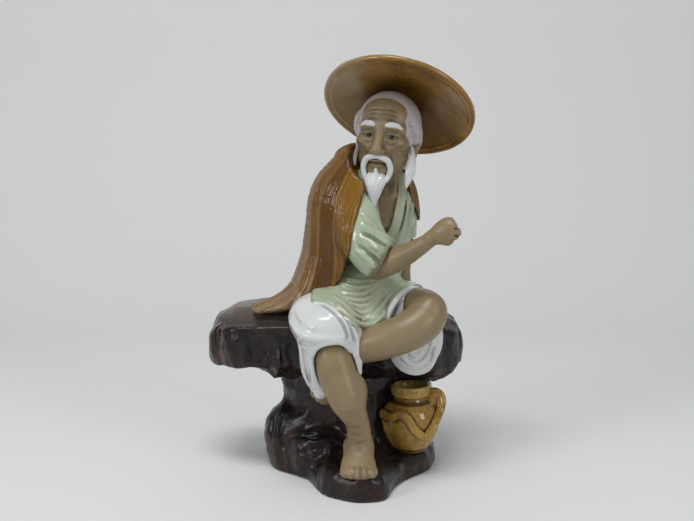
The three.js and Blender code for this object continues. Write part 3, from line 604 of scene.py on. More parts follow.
rock_column = Limb(
    [(1, 15, -4, 45, 30), (1, 15, 14, 40, 29), (1, 15, 34, 35.5, 27), (2, 15, 58, 41, 29)], bends=8, ends=0.2)
rock_hollow = Limb([(1, 15, -10, 36, 23), (1, 15, 18, 27, 18), (1, 15, 40, 28, 18)], bends=6, ends=0.4)
FLOOR_GAP = 0.2
BOULDERS = [
    egg((-18, 6, 8), (27, 24, 31)), egg((-35, 10, 20), (14, 18, 17)), egg((-14, -12, 14), (17, 14, 14)),
    egg((34, 14, 22), (20, 20, 20)), egg((43, 20, 45), (14, 12, 14)),
]
toe_hollow = egg((10, -42, 22), (14, 22, 9.5))
jar_hollow = egg((30, -22, 24), (12, 14, 13))
BASE_CRACKS = [
    [(284, 441), (296, 436), (312, 438), (328, 434), (342, 428)],
    [(300, 455), (310, 448), (322, 446), (334, 440)], [(274, 416), (271, 428), (273, 442)],
    [(283, 420), (280, 434), (284, 450)], [(306, 458), (312, 468), (316, 476)],
]


def plain_base(p):
    """The lower rock without its cracks: a slab with a column and boulders on it."""
    x, y, z = p[:, 0], p[:, 1], p[:, 2]
    wall = base_plan(x, y) + 0.12 * z
    rim = SHELF + 1.2 - 2.5 * step(x, 22, 36)
    d = meet(wall, z - rim, 7)
    d = melted(melt(d, rock_column(p), 8), p, BOULDERS, 6)
    return carved(d, p, [toe_hollow, jar_hollow], 4)


base_cracks = [score(plain_base, path, 1.5) for path in BASE_CRACKS]


def rock_base(p):
    """The lower rock, hollow underneath."""
    d = carved(plain_base(p), p, base_cracks, 1.0)
    upright = 0.2 + 0.65 * step(-p[:, 0], 24, 40)
    d = d - rock_skin(p, upright, 31) * (0.3 + 0.7 * step(p[:, 2], 0, 9))
    d = meet(d, FLOOR_GAP - p[:, 2], 0.8)
    return carve(carve(d, jar_mouth_room(p), 2), rock_hollow(p), 1.0)


# Jar

JAR_PROFILE = [
    (0, 0), (9.2, 0), (10.4, 0.8), (13.2, 5), (16, 11), (17.4, 17), (17, 22.5), (14.6, 27.6), (11.4, 30.8),
    (10.4, 32.2), (10.7, 33.6), (11.9, 34.6), (12.2, 36.8), (12, 38.8), (11, 40), (9.6, 39.9), (8.6, 38.2),
    (8, 35), (8.2, 31.4), (11.6, 28), (14, 22.5), (14.3, 17), (12.6, 10.4), (8, 4), (0, 3),
]
JAR_TURNS = 112
JAR_ROWS = 84
RING_HEIGHT = 0.16
RING_PACE = 2.6
JAR_LIP = (51.5, 53.4)
STRAP_SHADE = (0.2, 1.8)


def jar_mesh():
    """The jar, turned from its profile, with throwing rings and a slight wobble."""
    profile = smooth_path(JAR_PROFILE, JAR_ROWS)
    profile[0, 0] = profile[-1, 0] = 0
    turns = np.linspace(0, 2 * np.pi, JAR_TURNS, endpoint=False)
    height = profile[:, 1]
    ring = profile[:, 0] + RING_HEIGHT * np.sin(height * RING_PACE) * step(profile[:, 0], 4, 9)
    points = [[*JAR_AXIS, JAR_FOOT + height[0]]]
    crease = np.gradient(np.gradient(profile[:, 0]))
    creased = [0.0]
    for i in range(1, len(profile) - 1):
        wobble = 1 + 0.012 * np.sin(2 * turns + 0.5) + 0.008 * np.sin(3 * turns + height[i] * 0.2)
        points.extend(np.column_stack([
            JAR_AXIS[0] + ring[i] * wobble * np.cos(turns),
            JAR_AXIS[1] + ring[i] * wobble * np.sin(turns),
            np.full(JAR_TURNS, JAR_FOOT + height[i]),
        ]).tolist())
        creased.extend([float(np.clip(crease[i] * 3, 0, 1))] * JAR_TURNS)
    points.append([*JAR_AXIS, JAR_FOOT + height[-1]])
    creased.append(0.0)
    last = len(points) - 1
    faces = []
    for j in range(JAR_TURNS):
        k = (j + 1) % JAR_TURNS
        faces.append([0, 1 + k, 1 + j])
        faces.append([last, last - JAR_TURNS + j, last - JAR_TURNS + k])
        for low in range(1, last - JAR_TURNS, JAR_TURNS):
            high = low + JAR_TURNS
            faces.append([low + j, low + k, high + k])
            faces.append([low + j, high + k, high + j])
    points = np.array(points)
    # Painted shade on the jar beside the strap, carried in the glaze's pool mark
    painted_strap_shade = 1 - step(sling_front(points.astype(np.float32)), *STRAP_SHADE)
    marks = {"pool": np.maximum(creased, 0.6 * painted_strap_shade), "thin": step(points[:, 2], *JAR_LIP)}
    return points, np.array(faces), marks


JAR_OUTSIDE = 15
jar_outline = smooth_path(JAR_PROFILE[1:JAR_OUTSIDE], 50)


def jar_skin(p):
    """Outside of the jar, for what is laid on it."""
    out = np.hypot(p[:, 0] - JAR_AXIS[0], p[:, 1] - JAR_AXIS[1])
    height = p[:, 2] - JAR_FOOT
    wall = np.interp(height, jar_outline[:, 1], jar_outline[:, 0])
    half_tall = JAR_PROFILE[JAR_OUTSIDE - 1][1] / 2
    return np.maximum(out - wall, np.abs(height - half_tall) - half_tall)


SLING_PATH = [
    (384, 413.5), (392, 417), (400, 414.5), (407, 418), (412, 426), (418, 433), (424, 436.5), (429, 431),
    (433.5, 423),
]
SLING_LUG = [(59, -11, 37.6), (60.6, -8.8, 42.4), (60, -7.4, 46.4), (57.4, -6.6, 48.6), (53.4, -6.2, 48.6)]
lug_web = egg((54.4, -7.4, 42.6), (6.4, 2.2, 6.4))
SLING_SIDE = [(26.8, -10.5, 36.4), (25.2, -3, 35.4), (28.6, 6, 34.2)]
SLING_BACK = [(26.4, 2, 34.6), (29.6, 7.4, 34), (40, 11.5, 35), (54, 7, 39), (61, -3, 45)]


def strap(places, wide, thick):
    """Stations of a flat strap that lies against the jar."""
    middle = np.array([*JAR_AXIS, 0])
    out = (np.array(places) - middle) * np.array([1, 1, 0])
    out /= np.linalg.norm(out, axis=1)[:, None]
    return np.hstack([places + out * thick * 0.55, np.tile([wide, thick], (len(places), 1))])


sling_front = Limb(
    np.vstack([strap(laid(jar_skin, SLING_PATH), 2.7, 2.0), [place + (2.9, 2.2) for place in SLING_LUG]]),
    facing=(0.25, -1, 0), bends=40)
sling_side = Limb([place + (2.6, 1.8) for place in SLING_SIDE], facing=(-1, 0.2, 0), bends=12)
sling_back = Limb([place + (2.2, 1.5) for place in SLING_BACK], facing=(0, 1, 0.2), bends=18)


def jar_sling(p):
    """A strap with a raised cord along each edge."""
    _, (across, _, _), _ = sling_front.locate(p)
    d = sling_front(p) + 0.5 * np.exp(-across ** 2)
    d = melt(melt(d, sling_side(p), 1.5), lug_web(p), 1.6)
    return melt(d, sling_back(p), 1.2)


# Legs

right_shin = Limb([
    (-6, -29, 91, 11, 11), (-5.2, -35, 82, 10.8, 10.8), (-2.6, -41, 70, 10.9, 10.8),
    (2.6, -43.6, 56, 10.1, 10.4), (6.4, -42, 47.5, 8, 8.8), (9, -39.6, 41, 6.8, 7.4),
    (10.2, -38, 34, 6.9, 7.2), (10.4, -36, 25, 7.4, 8), (10.4, -35.5, 19, 7.4, 8),
], bends=22)
shin_details = [egg((-5.4, -44.4, 78), (6.6, 4, 7)), egg((7, -38.4, 58), (8, 8.4, 11))]
ankle_bones = [egg((3.4, -37.5, 26.5), (2, 2.6, 2.6)), egg((16.4, -36.6, 25.8), (2, 2.6, 2.6))]


def bare_right_leg(p):
    """The shin with its kneecap, calf and ankle bones."""
    return melted(melted(right_shin(p), p, shin_details, 4), p, ankle_bones, 3)


foot_body = Limb([
    (9.8, -30.5, 20.5, 7.2, 7.6), (9.8, -38, 21, 8.2, 7.6), (9.8, -46, 18.4, 9.8, 5.4),
    (9.8, -53, 16, 10.2, 3.4),
], facing=(0, 0, 1), bends=10)
TOES = [
    (17, -53.2, 15.4, 3, 4.8), (12.8, -54.4, 15.2, 2.5, 4.6), (9, -54.4, 15, 2.4, 4.4),
    (5.4, -53.4, 14.8, 2.3, 4), (2.2, -51.8, 14.6, 2.1, 3.8),
]
TOE_HEIGHT = 2.7
TOE_GAP = [(-59.4, 15.4), (-57, 18.2), (-53, 20.2)]
SOLE = 13.2
toes = [egg((x, y, z), (wide, long, TOE_HEIGHT)) for x, y, z, wide, long in TOES]
toe_gaps = [
    roll([((toe[0] + next_toe[0]) / 2, y, z) for y, z in TOE_GAP], 0.55)
    for toe, next_toe in zip(TOES, TOES[1:])
]


def bare_leg_and_foot(p):
    """The right leg and foot in one, flat under the sole."""
    foot = carved(melted(foot_body(p), p, toes, 2.6), p, toe_gaps, 0.9)
    return meet(melt(bare_right_leg(p), foot, 4), SOLE - p[:, 2], 0.6)


ANKLE_FOLDS = [
    [(351, 421), (357, 424), (363, 422)], [(350, 429), (357, 432), (364, 429)],
    [(349, 437), (358, 440), (365, 437)],
]
leg_and_foot = folded(
    bare_leg_and_foot, ridges=[fold(bare_leg_and_foot, path, 0.9, 0.75) for path in ANKLE_FOLDS], soft=1.6)
RIGHT_ANKLE = ((10, -36, 24), (0, -0.5, -0.87))
right_leg, right_foot = split(leg_and_foot, *RIGHT_ANKLE)

left_calf = Limb([
    (27, 7, 102, 13.4, 11), (41, -10, 102.5, 12.6, 11.6), (49, -22, 102, 12, 12),
    (47.5, -29.5, 98, 11.8, 11.8), (39, -34, 92.4, 11.6, 11.2), (28, -34.4, 88, 11.2, 10.8),
    (16, -32.4, 84, 10.2, 10), (6, -29.6, 80.4, 8.2, 8.2), (-1, -27.6, 78, 6.8, 7),
], facing=(0, 0, 1), bends=26)
left_kneecap = egg((52, -29.5, 106), (6.6, 6, 6.6))


def left_leg(p):
    """The bent left leg, from the hip round the knee to the ankle."""
    return melt(left_calf(p), left_kneecap(p), 4)


left_sole = Limb([(0, -27, 78, 6.4, 6), (-6, -28, 68, 6.4, 6), (-10.4, -30, 58.5, 7, 4.6)], bends=8)
LEFT_TOES = [
    (-15.6, -31.6, 56, 2.3), (-13.4, -31.8, 53.4, 2), (-11, -31.8, 52, 1.9), (-8.8, -31.4, 51.6, 1.8),
    (-6.8, -31, 52, 1.6),
]
LEFT_TOE_LENGTH = 3.4
left_toes = [egg((x, y, z), (radius, radius, LEFT_TOE_LENGTH)) for x, y, z, radius in LEFT_TOES]


def left_foot(p):
    """The hanging left foot."""
    return melted(left_sole(p), p, left_toes, 1.3)


# Trousers

right_thigh = Limb(
    [(1, 8, 102, 17, 13.6), (-9, -16, 98, 22, 14.4), (-8, -38.5, 90.4, 17, 14.6)],
    facing=(0, 0, 1), bends=10, ends=0.7)
right_curtain = Limb([
    (-8, -35, 90, 16, 13.4), (-9.4, -34.4, 78, 14.8, 11.4), (-10, -33, 67, 12.8, 8.6),
    (-11, -32.4, 59, 8.6, 5.4), (-12.6, -32, 55, 4, 3),
], bends=12)
right_corner = Limb([(3, -34, 90, 9, 9), (5.6, -35.5, 78, 7, 6.4), (8, -36.5, 69, 4, 3.6)], bends=8)
SHIN_LINE = [(-4.6, 77.4, 10.4), (-2, 68, 10.9), (3, 55, 10.4), (6.6, 46, 9), (9.6, 30, 8)]
ARCH_BACK = -38


def before_shin(p):
    """The space in front of the shin, where the trouser leg is open below a round arch."""
    best = np.full(len(p), FAR, np.float32)
    for (*start, wide), (*end, next_wide) in zip(SHIN_LINE, SHIN_LINE[1:]):
        t, off = from_line(p[:, [0, 2]], np.array(start, np.float32), np.array(end, np.float32))
        best = np.minimum(best, np.hypot(off[:, 0], off[:, 1]) - wide - (next_wide - wide) * t)
    return np.maximum(best, p[:, 1] - ARCH_BACK)


def loose_right_trouser(p):
    """The right trouser leg before its folds, cut clear of the shin."""
    d = melt(right_thigh(p), right_curtain(p), 3)
    d = melt(d, right_corner(p), 4)
    d = carve(d, before_shin(p), 2.2)
    return carve(d, right_shin.grown(0.4)(p), 0.8)


RIGHT_RIDGES = [
    ([(331, 302), (343, 311), (352, 324), (357, 340), (357, 356)], 1.3),
    ([(325, 304), (337, 313), (346, 325), (351, 340)], 1.2),
    ([(318, 306), (330, 314), (339, 324), (345, 336)], 1.0),
    ([(291, 322), (299, 333), (312, 338), (326, 339), (342, 338)], 2.0),
    ([(296, 311), (303, 321), (314, 328)], 1.2),
    ([(300, 346), (303, 360), (307, 378), (313, 391)], 1.5),
    ([(311, 356), (317, 347), (329, 343), (342, 343), (350, 351)], 1.3),
]
RIGHT_GROOVES = [
    ([(328, 303), (340, 312), (349, 325), (354, 340)], 0.9),
    ([(322, 305), (334, 314), (343, 325), (348, 338)], 0.8),
    ([(298, 342), (305, 344), (312, 345)], 1.2),
    ([(303, 350), (306, 366), (310, 382)], 1.2),
]
right_trouser = folded(
    loose_right_trouser,
    ridges=folds(loose_right_trouser, RIGHT_RIDGES, 0.35),
    grooves=scores(loose_right_trouser, RIGHT_GROOVES),
    soft=1.8)

left_thigh = Limb(
    [(27, 7, 102, 17, 13.6), (37, -6, 102, 16.6, 13.6), (44, -15, 100.5, 15, 13)],
    facing=(0, 0, 1), bends=10, ends=0.25)
left_drape = egg((43, -21, 86), (16.6, 8, 21.5))
LEFT_HEM = [
    (27, -27.5, 97.5), (28.5, -27, 103.6), (32.6, -23.6, 109.6), (38.6, -18, 113.6), (45, -12, 113.6),
]


def loose_left_trouser(p):
    """The left trouser leg before its folds, with the cloth that hangs under the knee."""
    d = melt(left_thigh(p), left_drape(p), 5)
    return carve(d, left_calf.grown(0.6)(p), 0.8)


DRAPE_RIDGES = [
    ([(393, 360), (402, 369), (415, 373), (428, 369), (435, 356), (438, 342)], 1.5),
    ([(401, 354), (408, 362), (418, 365), (427, 358), (432, 344)], 1.5),
    ([(410, 352), (416, 356), (422, 352), (427, 342)], 1.3),
]
DRAPE_GROOVES = [
    ([(398, 358), (406, 366), (417, 369), (428, 363), (434, 348)], 1.3),
    ([(406, 353), (413, 360), (420, 359), (427, 350), (430, 342)], 1.2),
]
left_trouser = folded(
    loose_left_trouser,
    ridges=[roll(LEFT_HEM, 1.9, 5)] + folds(left_drape, DRAPE_RIDGES),
    grooves=scores(left_drape, DRAPE_GROOVES),
    soft=1.8)


# Trunk and tunic

TRUNK = [(14, 14, 111, 22, 17), (18, 9, 126, 18, 14), (23.5, 5, 150, 17.5, 13.6), (27, 5, 166, 16, 12)]
trunk = Limb(TRUNK, bends=12, ends=0.7)
neck = Limb([(27.5, 5, 166, 9, 9), (28, 3, 181, 8.4, 8.4), (27.5, 1, 192, 8.4, 8.4)], bends=6, ends=0.4)


def bare_chest(p):
    """Trunk and neck."""
    return melt(trunk(p), neck(p), 6)


CHEST_RIDGES = [
    [(18.5, 170), (23, 167), (26.4, 166)], [(36, 171), (31.6, 167.4), (28, 166)],
    [(24.2, 176), (25.6, 170), (26.6, 166)], [(32.6, 176), (30.6, 170), (28.4, 166)],
    [(19.6, 158), (23.6, 156), (26, 156)], [(34, 158), (31, 156), (28.6, 156)],
    [(21, 151.4), (24, 150), (26, 150)], [(33, 151.4), (30.6, 150), (28.4, 150)],
]
chest = folded(bare_chest, ridges=[front_fold(bare_chest, path, 1.0) for path in CHEST_RIDGES], soft=2.2)

tunic_trunk = trunk.grown(2.4)
NECK_LEFT = ([140, 146, 160, 172, 184, 205], [24.6, 22.4, 18, 15, 13.4, 12])
NECK_RIGHT = ([140, 146, 152, 164, 176, 205], [25, 28.6, 31.4, 34, 35.4, 37])
NECK_LOW = 140
NECK_BACK = 6


def neckline(p):
    """The open front above the waist: inside a V in the front view, and only at the front."""
    x, z = p[:, 0], p[:, 2]
    side = np.maximum(np.interp(z, *NECK_LEFT) - x, x - np.interp(z, *NECK_RIGHT)) * 0.9
    return np.maximum(np.maximum(side, NECK_LOW - z), p[:, 1] - NECK_BACK)


def plain_tunic(p):
    """The tunic's body, open at the front."""
    return carve(tunic_trunk(p), neckline(p), 1.0)


TUNIC_RIDGES = [
    ([(38.4, 176), (38.6, 164), (36.4, 150), (33, 140)], 1.5),
    ([(41.4, 168), (41.6, 156), (39.6, 144)], 1.3),
    ([(3, 127), (10, 122.6), (19, 121.6), (28, 124)], 1.7),
    ([(5, 132), (13, 128.4), (22, 128), (31, 131)], 1.5),
    ([(2, 122), (10, 117), (19, 115.4), (29, 118)], 1.7),
    ([(7, 137.4), (15, 134), (24, 134), (31, 137)], 1.2),
]
TUNIC_GROOVES = [
    ([(36.8, 172), (36.6, 160), (34.4, 148)], 1.1), ([(4, 125), (11, 120), (20, 118.6), (29, 121)], 1.2),
]
tunic = folded(
    plain_tunic,
    ridges=[front_fold(tunic_trunk, path, radius) for path, radius in TUNIC_RIDGES],
    grooves=[front_fold(tunic_trunk, path, radius, sink=-0.45) for path, radius in TUNIC_GROOVES],
    soft=2.2)

middle_flap = Limb([
    (17, -3, 121, 19, 6), (15, -15, 109, 22, 6), (13.6, -25, 99.5, 15, 5.4), (13.4, -30.4, 95, 8, 3.6),
], bends=10)
right_lap = right_thigh.grown(1.7)
LAP_MIDDLE = (14, 12, 112)
RIGHT_LAP_HEM = [(297, 304), (327, 301), (349, 316)]
LEFT_LAP_HEM = [(389, 314), (398, 299), (410, 288)]
RIGHT_LAP_END = -18
LEFT_LAP_BACK = 2
right_lap_hem = cut_plane(laid(right_lap, RIGHT_LAP_HEM), LAP_MIDDLE)
left_lap = left_thigh.grown(1.5)
left_lap_hem = cut_plane(laid(left_lap, LEFT_LAP_HEM), LAP_MIDDLE)


def skirt_cloth(p):
    """The tunic's skirt: a flap in the lap, and cloth over both thighs as far as its hems."""
    right = meet(meet(right_lap(p), right_lap_hem(p), 1.4), RIGHT_LAP_END - p[:, 0], 3)
    left = meet(meet(left_lap(p), left_lap_hem(p), 1.4), p[:, 1] - LEFT_LAP_BACK, 3)
    return melt(melt(middle_flap(p), right, 4), left, 4)


SKIRT_RIDGES = [
    ([(338, 305), (349, 316), (357, 322), (367, 325), (378, 320), (386, 312)], 1.3),
    ([(343, 292), (352, 294), (364, 293), (376, 287), (383, 280)], 1.0),
    ([(344, 297), (354, 300), (364, 300), (374, 295), (382, 286)], 1.1),
    ([(349, 303), (358, 306), (367, 305), (375, 299), (381, 290)], 1.0),
    ([(352, 308), (360, 313), (368, 311), (376, 303), (381, 295)], 1.1),
    ([(334, 296), (345, 305), (354, 314), (363, 319), (372, 316), (382, 306), (391, 294)], 1.2),
    ([(341, 283), (352, 287), (366, 287), (380, 282)], 1.1),
    ([(346, 278), (357, 281), (370, 281), (383, 277)], 1.0),
]
tunic_skirt = folded(skirt_cloth, ridges=folds(skirt_cloth, SKIRT_RIDGES, 0.4), soft=1.5)


def lapel(top, spots, wide, seed):
    """A pleated band that follows one side of the neckline down from its top."""
    places = np.vstack([[top], faced(tunic_trunk, spots)])
    limb = Limb([tuple(place) + (wide, 1.4) for place in places], bends=14)

    def field(p):
        where, (across, _, _), _ = limb.locate(p)
        return limb(p) + 0.2 - 0.5 * strands(across / 1.8 + 0.4, where * 2, seed)
    return field


left_lapel = lapel((36.4, 0.5, 180), [(36, 170), (35, 163), (33, 153), (29.6, 145), (25.4, 138)], 2.9, 3)
right_lapel = lapel((17.4, 0, 179), [(15, 171), (15.6, 164), (18.6, 155), (22, 146), (25.4, 138)], 2.2, 4)


# Arms

right_arm = Limb([
    (20, -22, 128.6, 8.6, 8.6), (27, -26.5, 130.6, 7.6, 7.6), (36, -31.5, 135.4, 6.3, 6.3),
    (45, -36.6, 141.6, 4.9, 4.9), (51.5, -39.8, 146.6, 3.9, 4.1),
], bends=12)

# The back of the hand faces the viewer, and the fingers curl away from the knuckles
fist_palm = Limb([
    (51, -39.8, 146.4, 4, 4.2), (54.4, -41, 147.8, 5.6, 6.6), (59.4, -42.2, 149.6, 6.4, 8),
    (63.4, -43, 150.6, 6.2, 7.8),
], facing=(0, 0, 1), bends=8)
FIST_FACETS = [
    ((65, -43, 152), (0.84, -0.16, 0.52)), ((63.4, -43, 145.4), (0.7, -0.1, -0.7)),
    ((56, -42, 142.4), (-0.22, 0, -0.97)),
]
KNUCKLES = [(64, 154), (65.4, 150), (63.8, 146.4), (61, 143.6)]
CURL = [(-1.4, -42.6, 0, 2.2), (-1.8, -37.2, 0, 2.2), (-6.4, -35.8, 0.4, 1.9)]
GAP_CURL = [(-2.6, -48.6), (-0.4, -47.4), (0.4, -42), (-1, -34.8), (-7, -33.2)]
fingers = [
    Limb([(x + across, y, z + up, radius) for across, y, up, radius in CURL], facing=(0, 0, 1), bends=6)
    for x, z in KNUCKLES
]
finger_gaps = [
    roll([((x + next_x) / 2 + across, y, (z + next_z) / 2) for across, y in GAP_CURL], 0.6)
    for (x, z), (next_x, next_z) in zip(KNUCKLES, KNUCKLES[1:])
]
thumb = Limb([(53.4, -39.4, 149.6, 2.6), (57.2, -41, 154, 2.6), (61, -42, 154.4, 2.3)], bends=6)


def arm_and_fist(p):
    """The right forearm with its clenched hand in one."""
    fist = melt(melted(fist_palm(p), p, fingers, 1.6), thumb(p), 2.2)
    for place, way in FIST_FACETS:
        fist = meet(fist, (p - np.array(place, np.float32)) @ np.array(way, np.float32), 1.6)
    return melt(right_arm(p), carved(fist, p, finger_gaps, 0.9), 2.6)


RIGHT_WRIST = ((51, -39.6, 146.2), (0.78, -0.38, 0.5))
right_forearm, right_fist = split(arm_and_fist, *RIGHT_WRIST)

right_sleeve_limb = Limb([
    (10, 2, 174, 11, 11), (9, -8, 161, 13, 12.4), (11, -16.6, 148, 13.4, 13), (17.4, -22.8, 137, 13, 13),
    (29.6, -28.2, 126.4, 13, 13),
], bends=16)
HEM_PLACE = np.array([25.4, -27, 131.6], np.float32)
HEM_WAY = np.array([0.83, -0.16, -0.53], np.float32)


def loose_right_sleeve(p):
    """The right sleeve before its folds, open at its hem round the forearm."""
    past_hem = (p - HEM_PLACE) @ HEM_WAY
    d = meet(right_sleeve_limb(p), past_hem, 6.5)
    return carve(d, np.maximum(right_arm.grown(1.5)(p), -6 - past_hem), 0.8)


SLEEVE_RIDGES = [
    ([(364, 227), (375, 231), (387, 237), (394, 242)], 1.2),
    ([(360, 238), (371, 243), (381, 251), (387, 258)], 1.4), ([(357, 250), (365, 257), (374, 266)], 1.2),
    ([(362, 214), (369, 221), (376, 227)], 1.1),
]
SLEEVE_GROOVES = [([(362, 232), (373, 237), (386, 245)], 1.0), ([(358, 245), (368, 252), (379, 262)], 1.0)]
right_sleeve = folded(
    loose_right_sleeve,
    ridges=folds(loose_right_sleeve, SLEEVE_RIDGES),
    grooves=scores(loose_right_sleeve, SLEEVE_GROOVES),
    soft=2.2)

left_sleeve_limb = Limb([
    (33, 7, 177, 7, 8.4), (35.4, 8, 168, 9, 9.4), (37, 8, 157, 9, 9.4), (37, 6.4, 143, 8.6, 9),
], bends=10, ends=0.3)
LEFT_SLEEVE_RIDGES = [[(43, 164), (44, 156), (43, 146)], [(38.4, 160), (39.6, 151), (39, 143)]]
left_sleeve = folded(
    left_sleeve_limb,
    ridges=[front_fold(left_sleeve_limb, path, 1.2) for path in LEFT_SLEEVE_RIDGES],
    soft=2.0)
left_arm = Limb([(38, 8, 148, 6.6, 6.6), (37.8, 9, 134, 5.6, 5.6), (37.4, 9, 117, 4.4, 4.6)], bends=8)
left_palm = Limb([
    (37.4, 9, 117, 4.4, 4.6), (40, 12, 109, 5.6, 4), (44, 13, 104, 6.4, 3.4),
], facing=(0.4, -0.3, 0.86), bends=8)
FINGER_SPREAD = [(-4.4, -1.2), (-1.6, 0.6), (1.4, 0.8), (4.4, -0.4)]
left_fingers = [
    Limb([
        (44 + side * 0.5, 12.4 + side * 0.8, 103.4, 2),
        (48 + side * 0.45 + reach, 10.2 + side * 0.85, 101.2, 1.9),
        (51.4 + side * 0.4 + reach, 8.2 + side * 0.9, 99.4, 1.6),
    ], bends=6)
    for side, reach in FINGER_SPREAD
]
left_thumb = Limb([(41, 8.6, 106.4, 2.2), (44.6, 5.4, 102.4, 1.9), (47, 3.6, 100, 1.6)], bends=6)


def left_arm_and_hand(p):
    """The left forearm with its open hand in one."""
    return melt(left_arm(p), melted(left_palm(p), p, left_fingers + [left_thumb], 1.2), 2)


LEFT_WRIST = ((37.4, 9.2, 116), (0.2, 0.2, -0.96))
left_forearm, left_hand = split(left_arm_and_hand, *LEFT_WRIST)


# Cape

cape_mantle = Limb([
    (2, 12, 84, 38, 31), (3.5, 11, 104, 34.5, 29), (6, 9.6, 122, 32, 28), (8.6, 8, 140, 31.8, 27.6),
    (11.6, 6, 153, 33.4, 27), (12.8, 5, 165, 32.6, 26), (15, 4.4, 178, 27.8, 22.6),
    (16.4, 4, 188, 20.8, 18),
], bends=22, ends=0.6)
cape_tail = Limb([
    (-14, 2, 124, 14, 9), (-22, 1, 112, 15, 7.4), (-33, 0, 104.6, 12.5, 5.2), (-44, -1, 101, 9, 3),
    (-55, -2, 99.2, 6, 1.5),
], facing=(-0.5, -0.2, 0.84), bends=12)
CAPE_EDGE = (
    [110, 119, 128, 137, 146, 152, 159, 172, 180, 205], [-7, -0.5, 2.7, 5, 6.2, 7.6, 10.2, 13.6, 14.2, 13])
CAPE_FAR_EDGE = ([150, 158, 164, 174, 185, 205], [46.6, 44.4, 41.4, 39.6, 38, 36])
CAPE_COLLAR = ([160, 172, 190], [9, -3, 9])
FAR_HEM = 152.0
NEAR_HEM = 109
HEM_LEFT = -18
HEM_BACK = -2
TAIL_TIP = -53
CAPE_STRANDS = 104
CAPE_LOCK = 4.2
STRAND_HEIGHT = 0.7
LOCK_HEIGHT = 0.45
TAIL_X = (-19, -30)
TAIL_Y = (22, 14)
TAIL_Z = (122, 108)
TAIL_STRAND = 1.9
TAIL_STRAND_HEIGHT = 0.85
TAIL_RAISED = 0.3
TAIL_FIRST_NUMBER = 40
neck_opening = egg((25, -13, 193), (20.5, 17, 21))


def cape_front(p):
    """The open front of the cape, between a slanting edge and the strip on the far shoulder."""
    x, y, z = p[:, 0], p[:, 1], p[:, 2]
    ragged = noise(p, (4, 4, 7), 71) * 0.15
    near = (np.interp(z, *CAPE_EDGE) - x) * 0.92 + ragged
    far = (x - np.interp(z, *CAPE_FAR_EDGE)) * 0.8
    return np.maximum(np.maximum(near, far), (y - np.interp(z, *CAPE_COLLAR)) * 0.8)


def cape_strands(p):
    """Relief of the straw, a number that counts the strands, and how far a place is on the tail."""
    where, angle = cape_mantle.grain(p)
    lean = np.mod(angle - math.pi / 4, 2 * math.pi)
    lean = lean + 0.08 * np.sin(where * 5 + 1) + 0.05 * noise(p, (14, 14, 40), 77)
    across = lean / (2 * np.pi) * CAPE_STRANDS
    fine = strands(across, where * 5, 81, 0.5)
    locks = strands(across / CAPE_LOCK, where * 3, 83, 0.8)
    tail_where, (tail_across, _, _), _ = cape_tail.locate(p)
    tail_across = tail_across / TAIL_STRAND
    tail_fine = strands(tail_across, tail_where * 4, 85, 0.5)
    on_tail = step(p[:, 0], *TAIL_X) * step(p[:, 2], *TAIL_Z) * step(p[:, 1], *TAIL_Y)
    relief = fine * STRAND_HEIGHT + locks * LOCK_HEIGHT
    tail_relief = tail_fine * TAIL_STRAND_HEIGHT + TAIL_RAISED
    number = np.where(on_tail < 0.5, across, tail_across + TAIL_FIRST_NUMBER)
    return relief * (1 - on_tail) + tail_relief * on_tail, number, on_tail


def cape_cloth(p):
    """The cape before it is cut: mantle, tail and shoulders, with the relief of the straw."""
    d = melt(cape_mantle(p), cape_tail(p), 7)
    d = melt(d, right_sleeve_limb.grown(1.4)(p), 5)
    d = melt(d, meet(left_sleeve_limb.grown(1.6)(p), FAR_HEM - p[:, 2], 2), 4)
    relief, _, _ = cape_strands(p)
    return d + 0.6 - relief


def cape(p):
    """The cape, cut open at the front and the neck, with a ragged hem."""
    d = cape_cloth(p)
    d = carve(d, cape_front(p), 1.8)
    d = meet(d, SEAT - 1.5 - p[:, 2], 0.6)
    ragged_hem = noise(p, (2.6, 2.6, 60), 91) * 1.2 + NEAR_HEM - 1.5 * step(-p[:, 0], 8, 18)
    below_hem = np.maximum(p[:, 2] - ragged_hem, np.maximum(HEM_LEFT - p[:, 0], p[:, 1] - HEM_BACK))
    d = carve(d, below_hem, 1.0)
    ragged_tip = TAIL_TIP - p[:, 0] + 2.2 * noise(p, (60, 1.6, 1.6), 93)
    return carve(meet(d, ragged_tip, 0.6), neck_opening(p), 2.5)


# Head, in its own frame: the origin is between crown and chin, and the face looks along -Y

def turn(axis, angle):
    """Turn round an axis, as a matrix."""
    return np.array(Matrix.Rotation(angle, 3, axis))


HEAD_TURNED = turn("Z", HEAD_TURN) @ turn("Y", HEAD_ROLL)


def from_head(points):
    """Points of the head's frame, moved to the maker's."""
    return points * (HEAD_BREADTH, 1, 1) @ HEAD_TURNED.T + np.array(HEAD_CENTRE)


def pair(make):
    """A piece of the figure's right side, and the same on its left."""
    return [make(-1), make(1)]


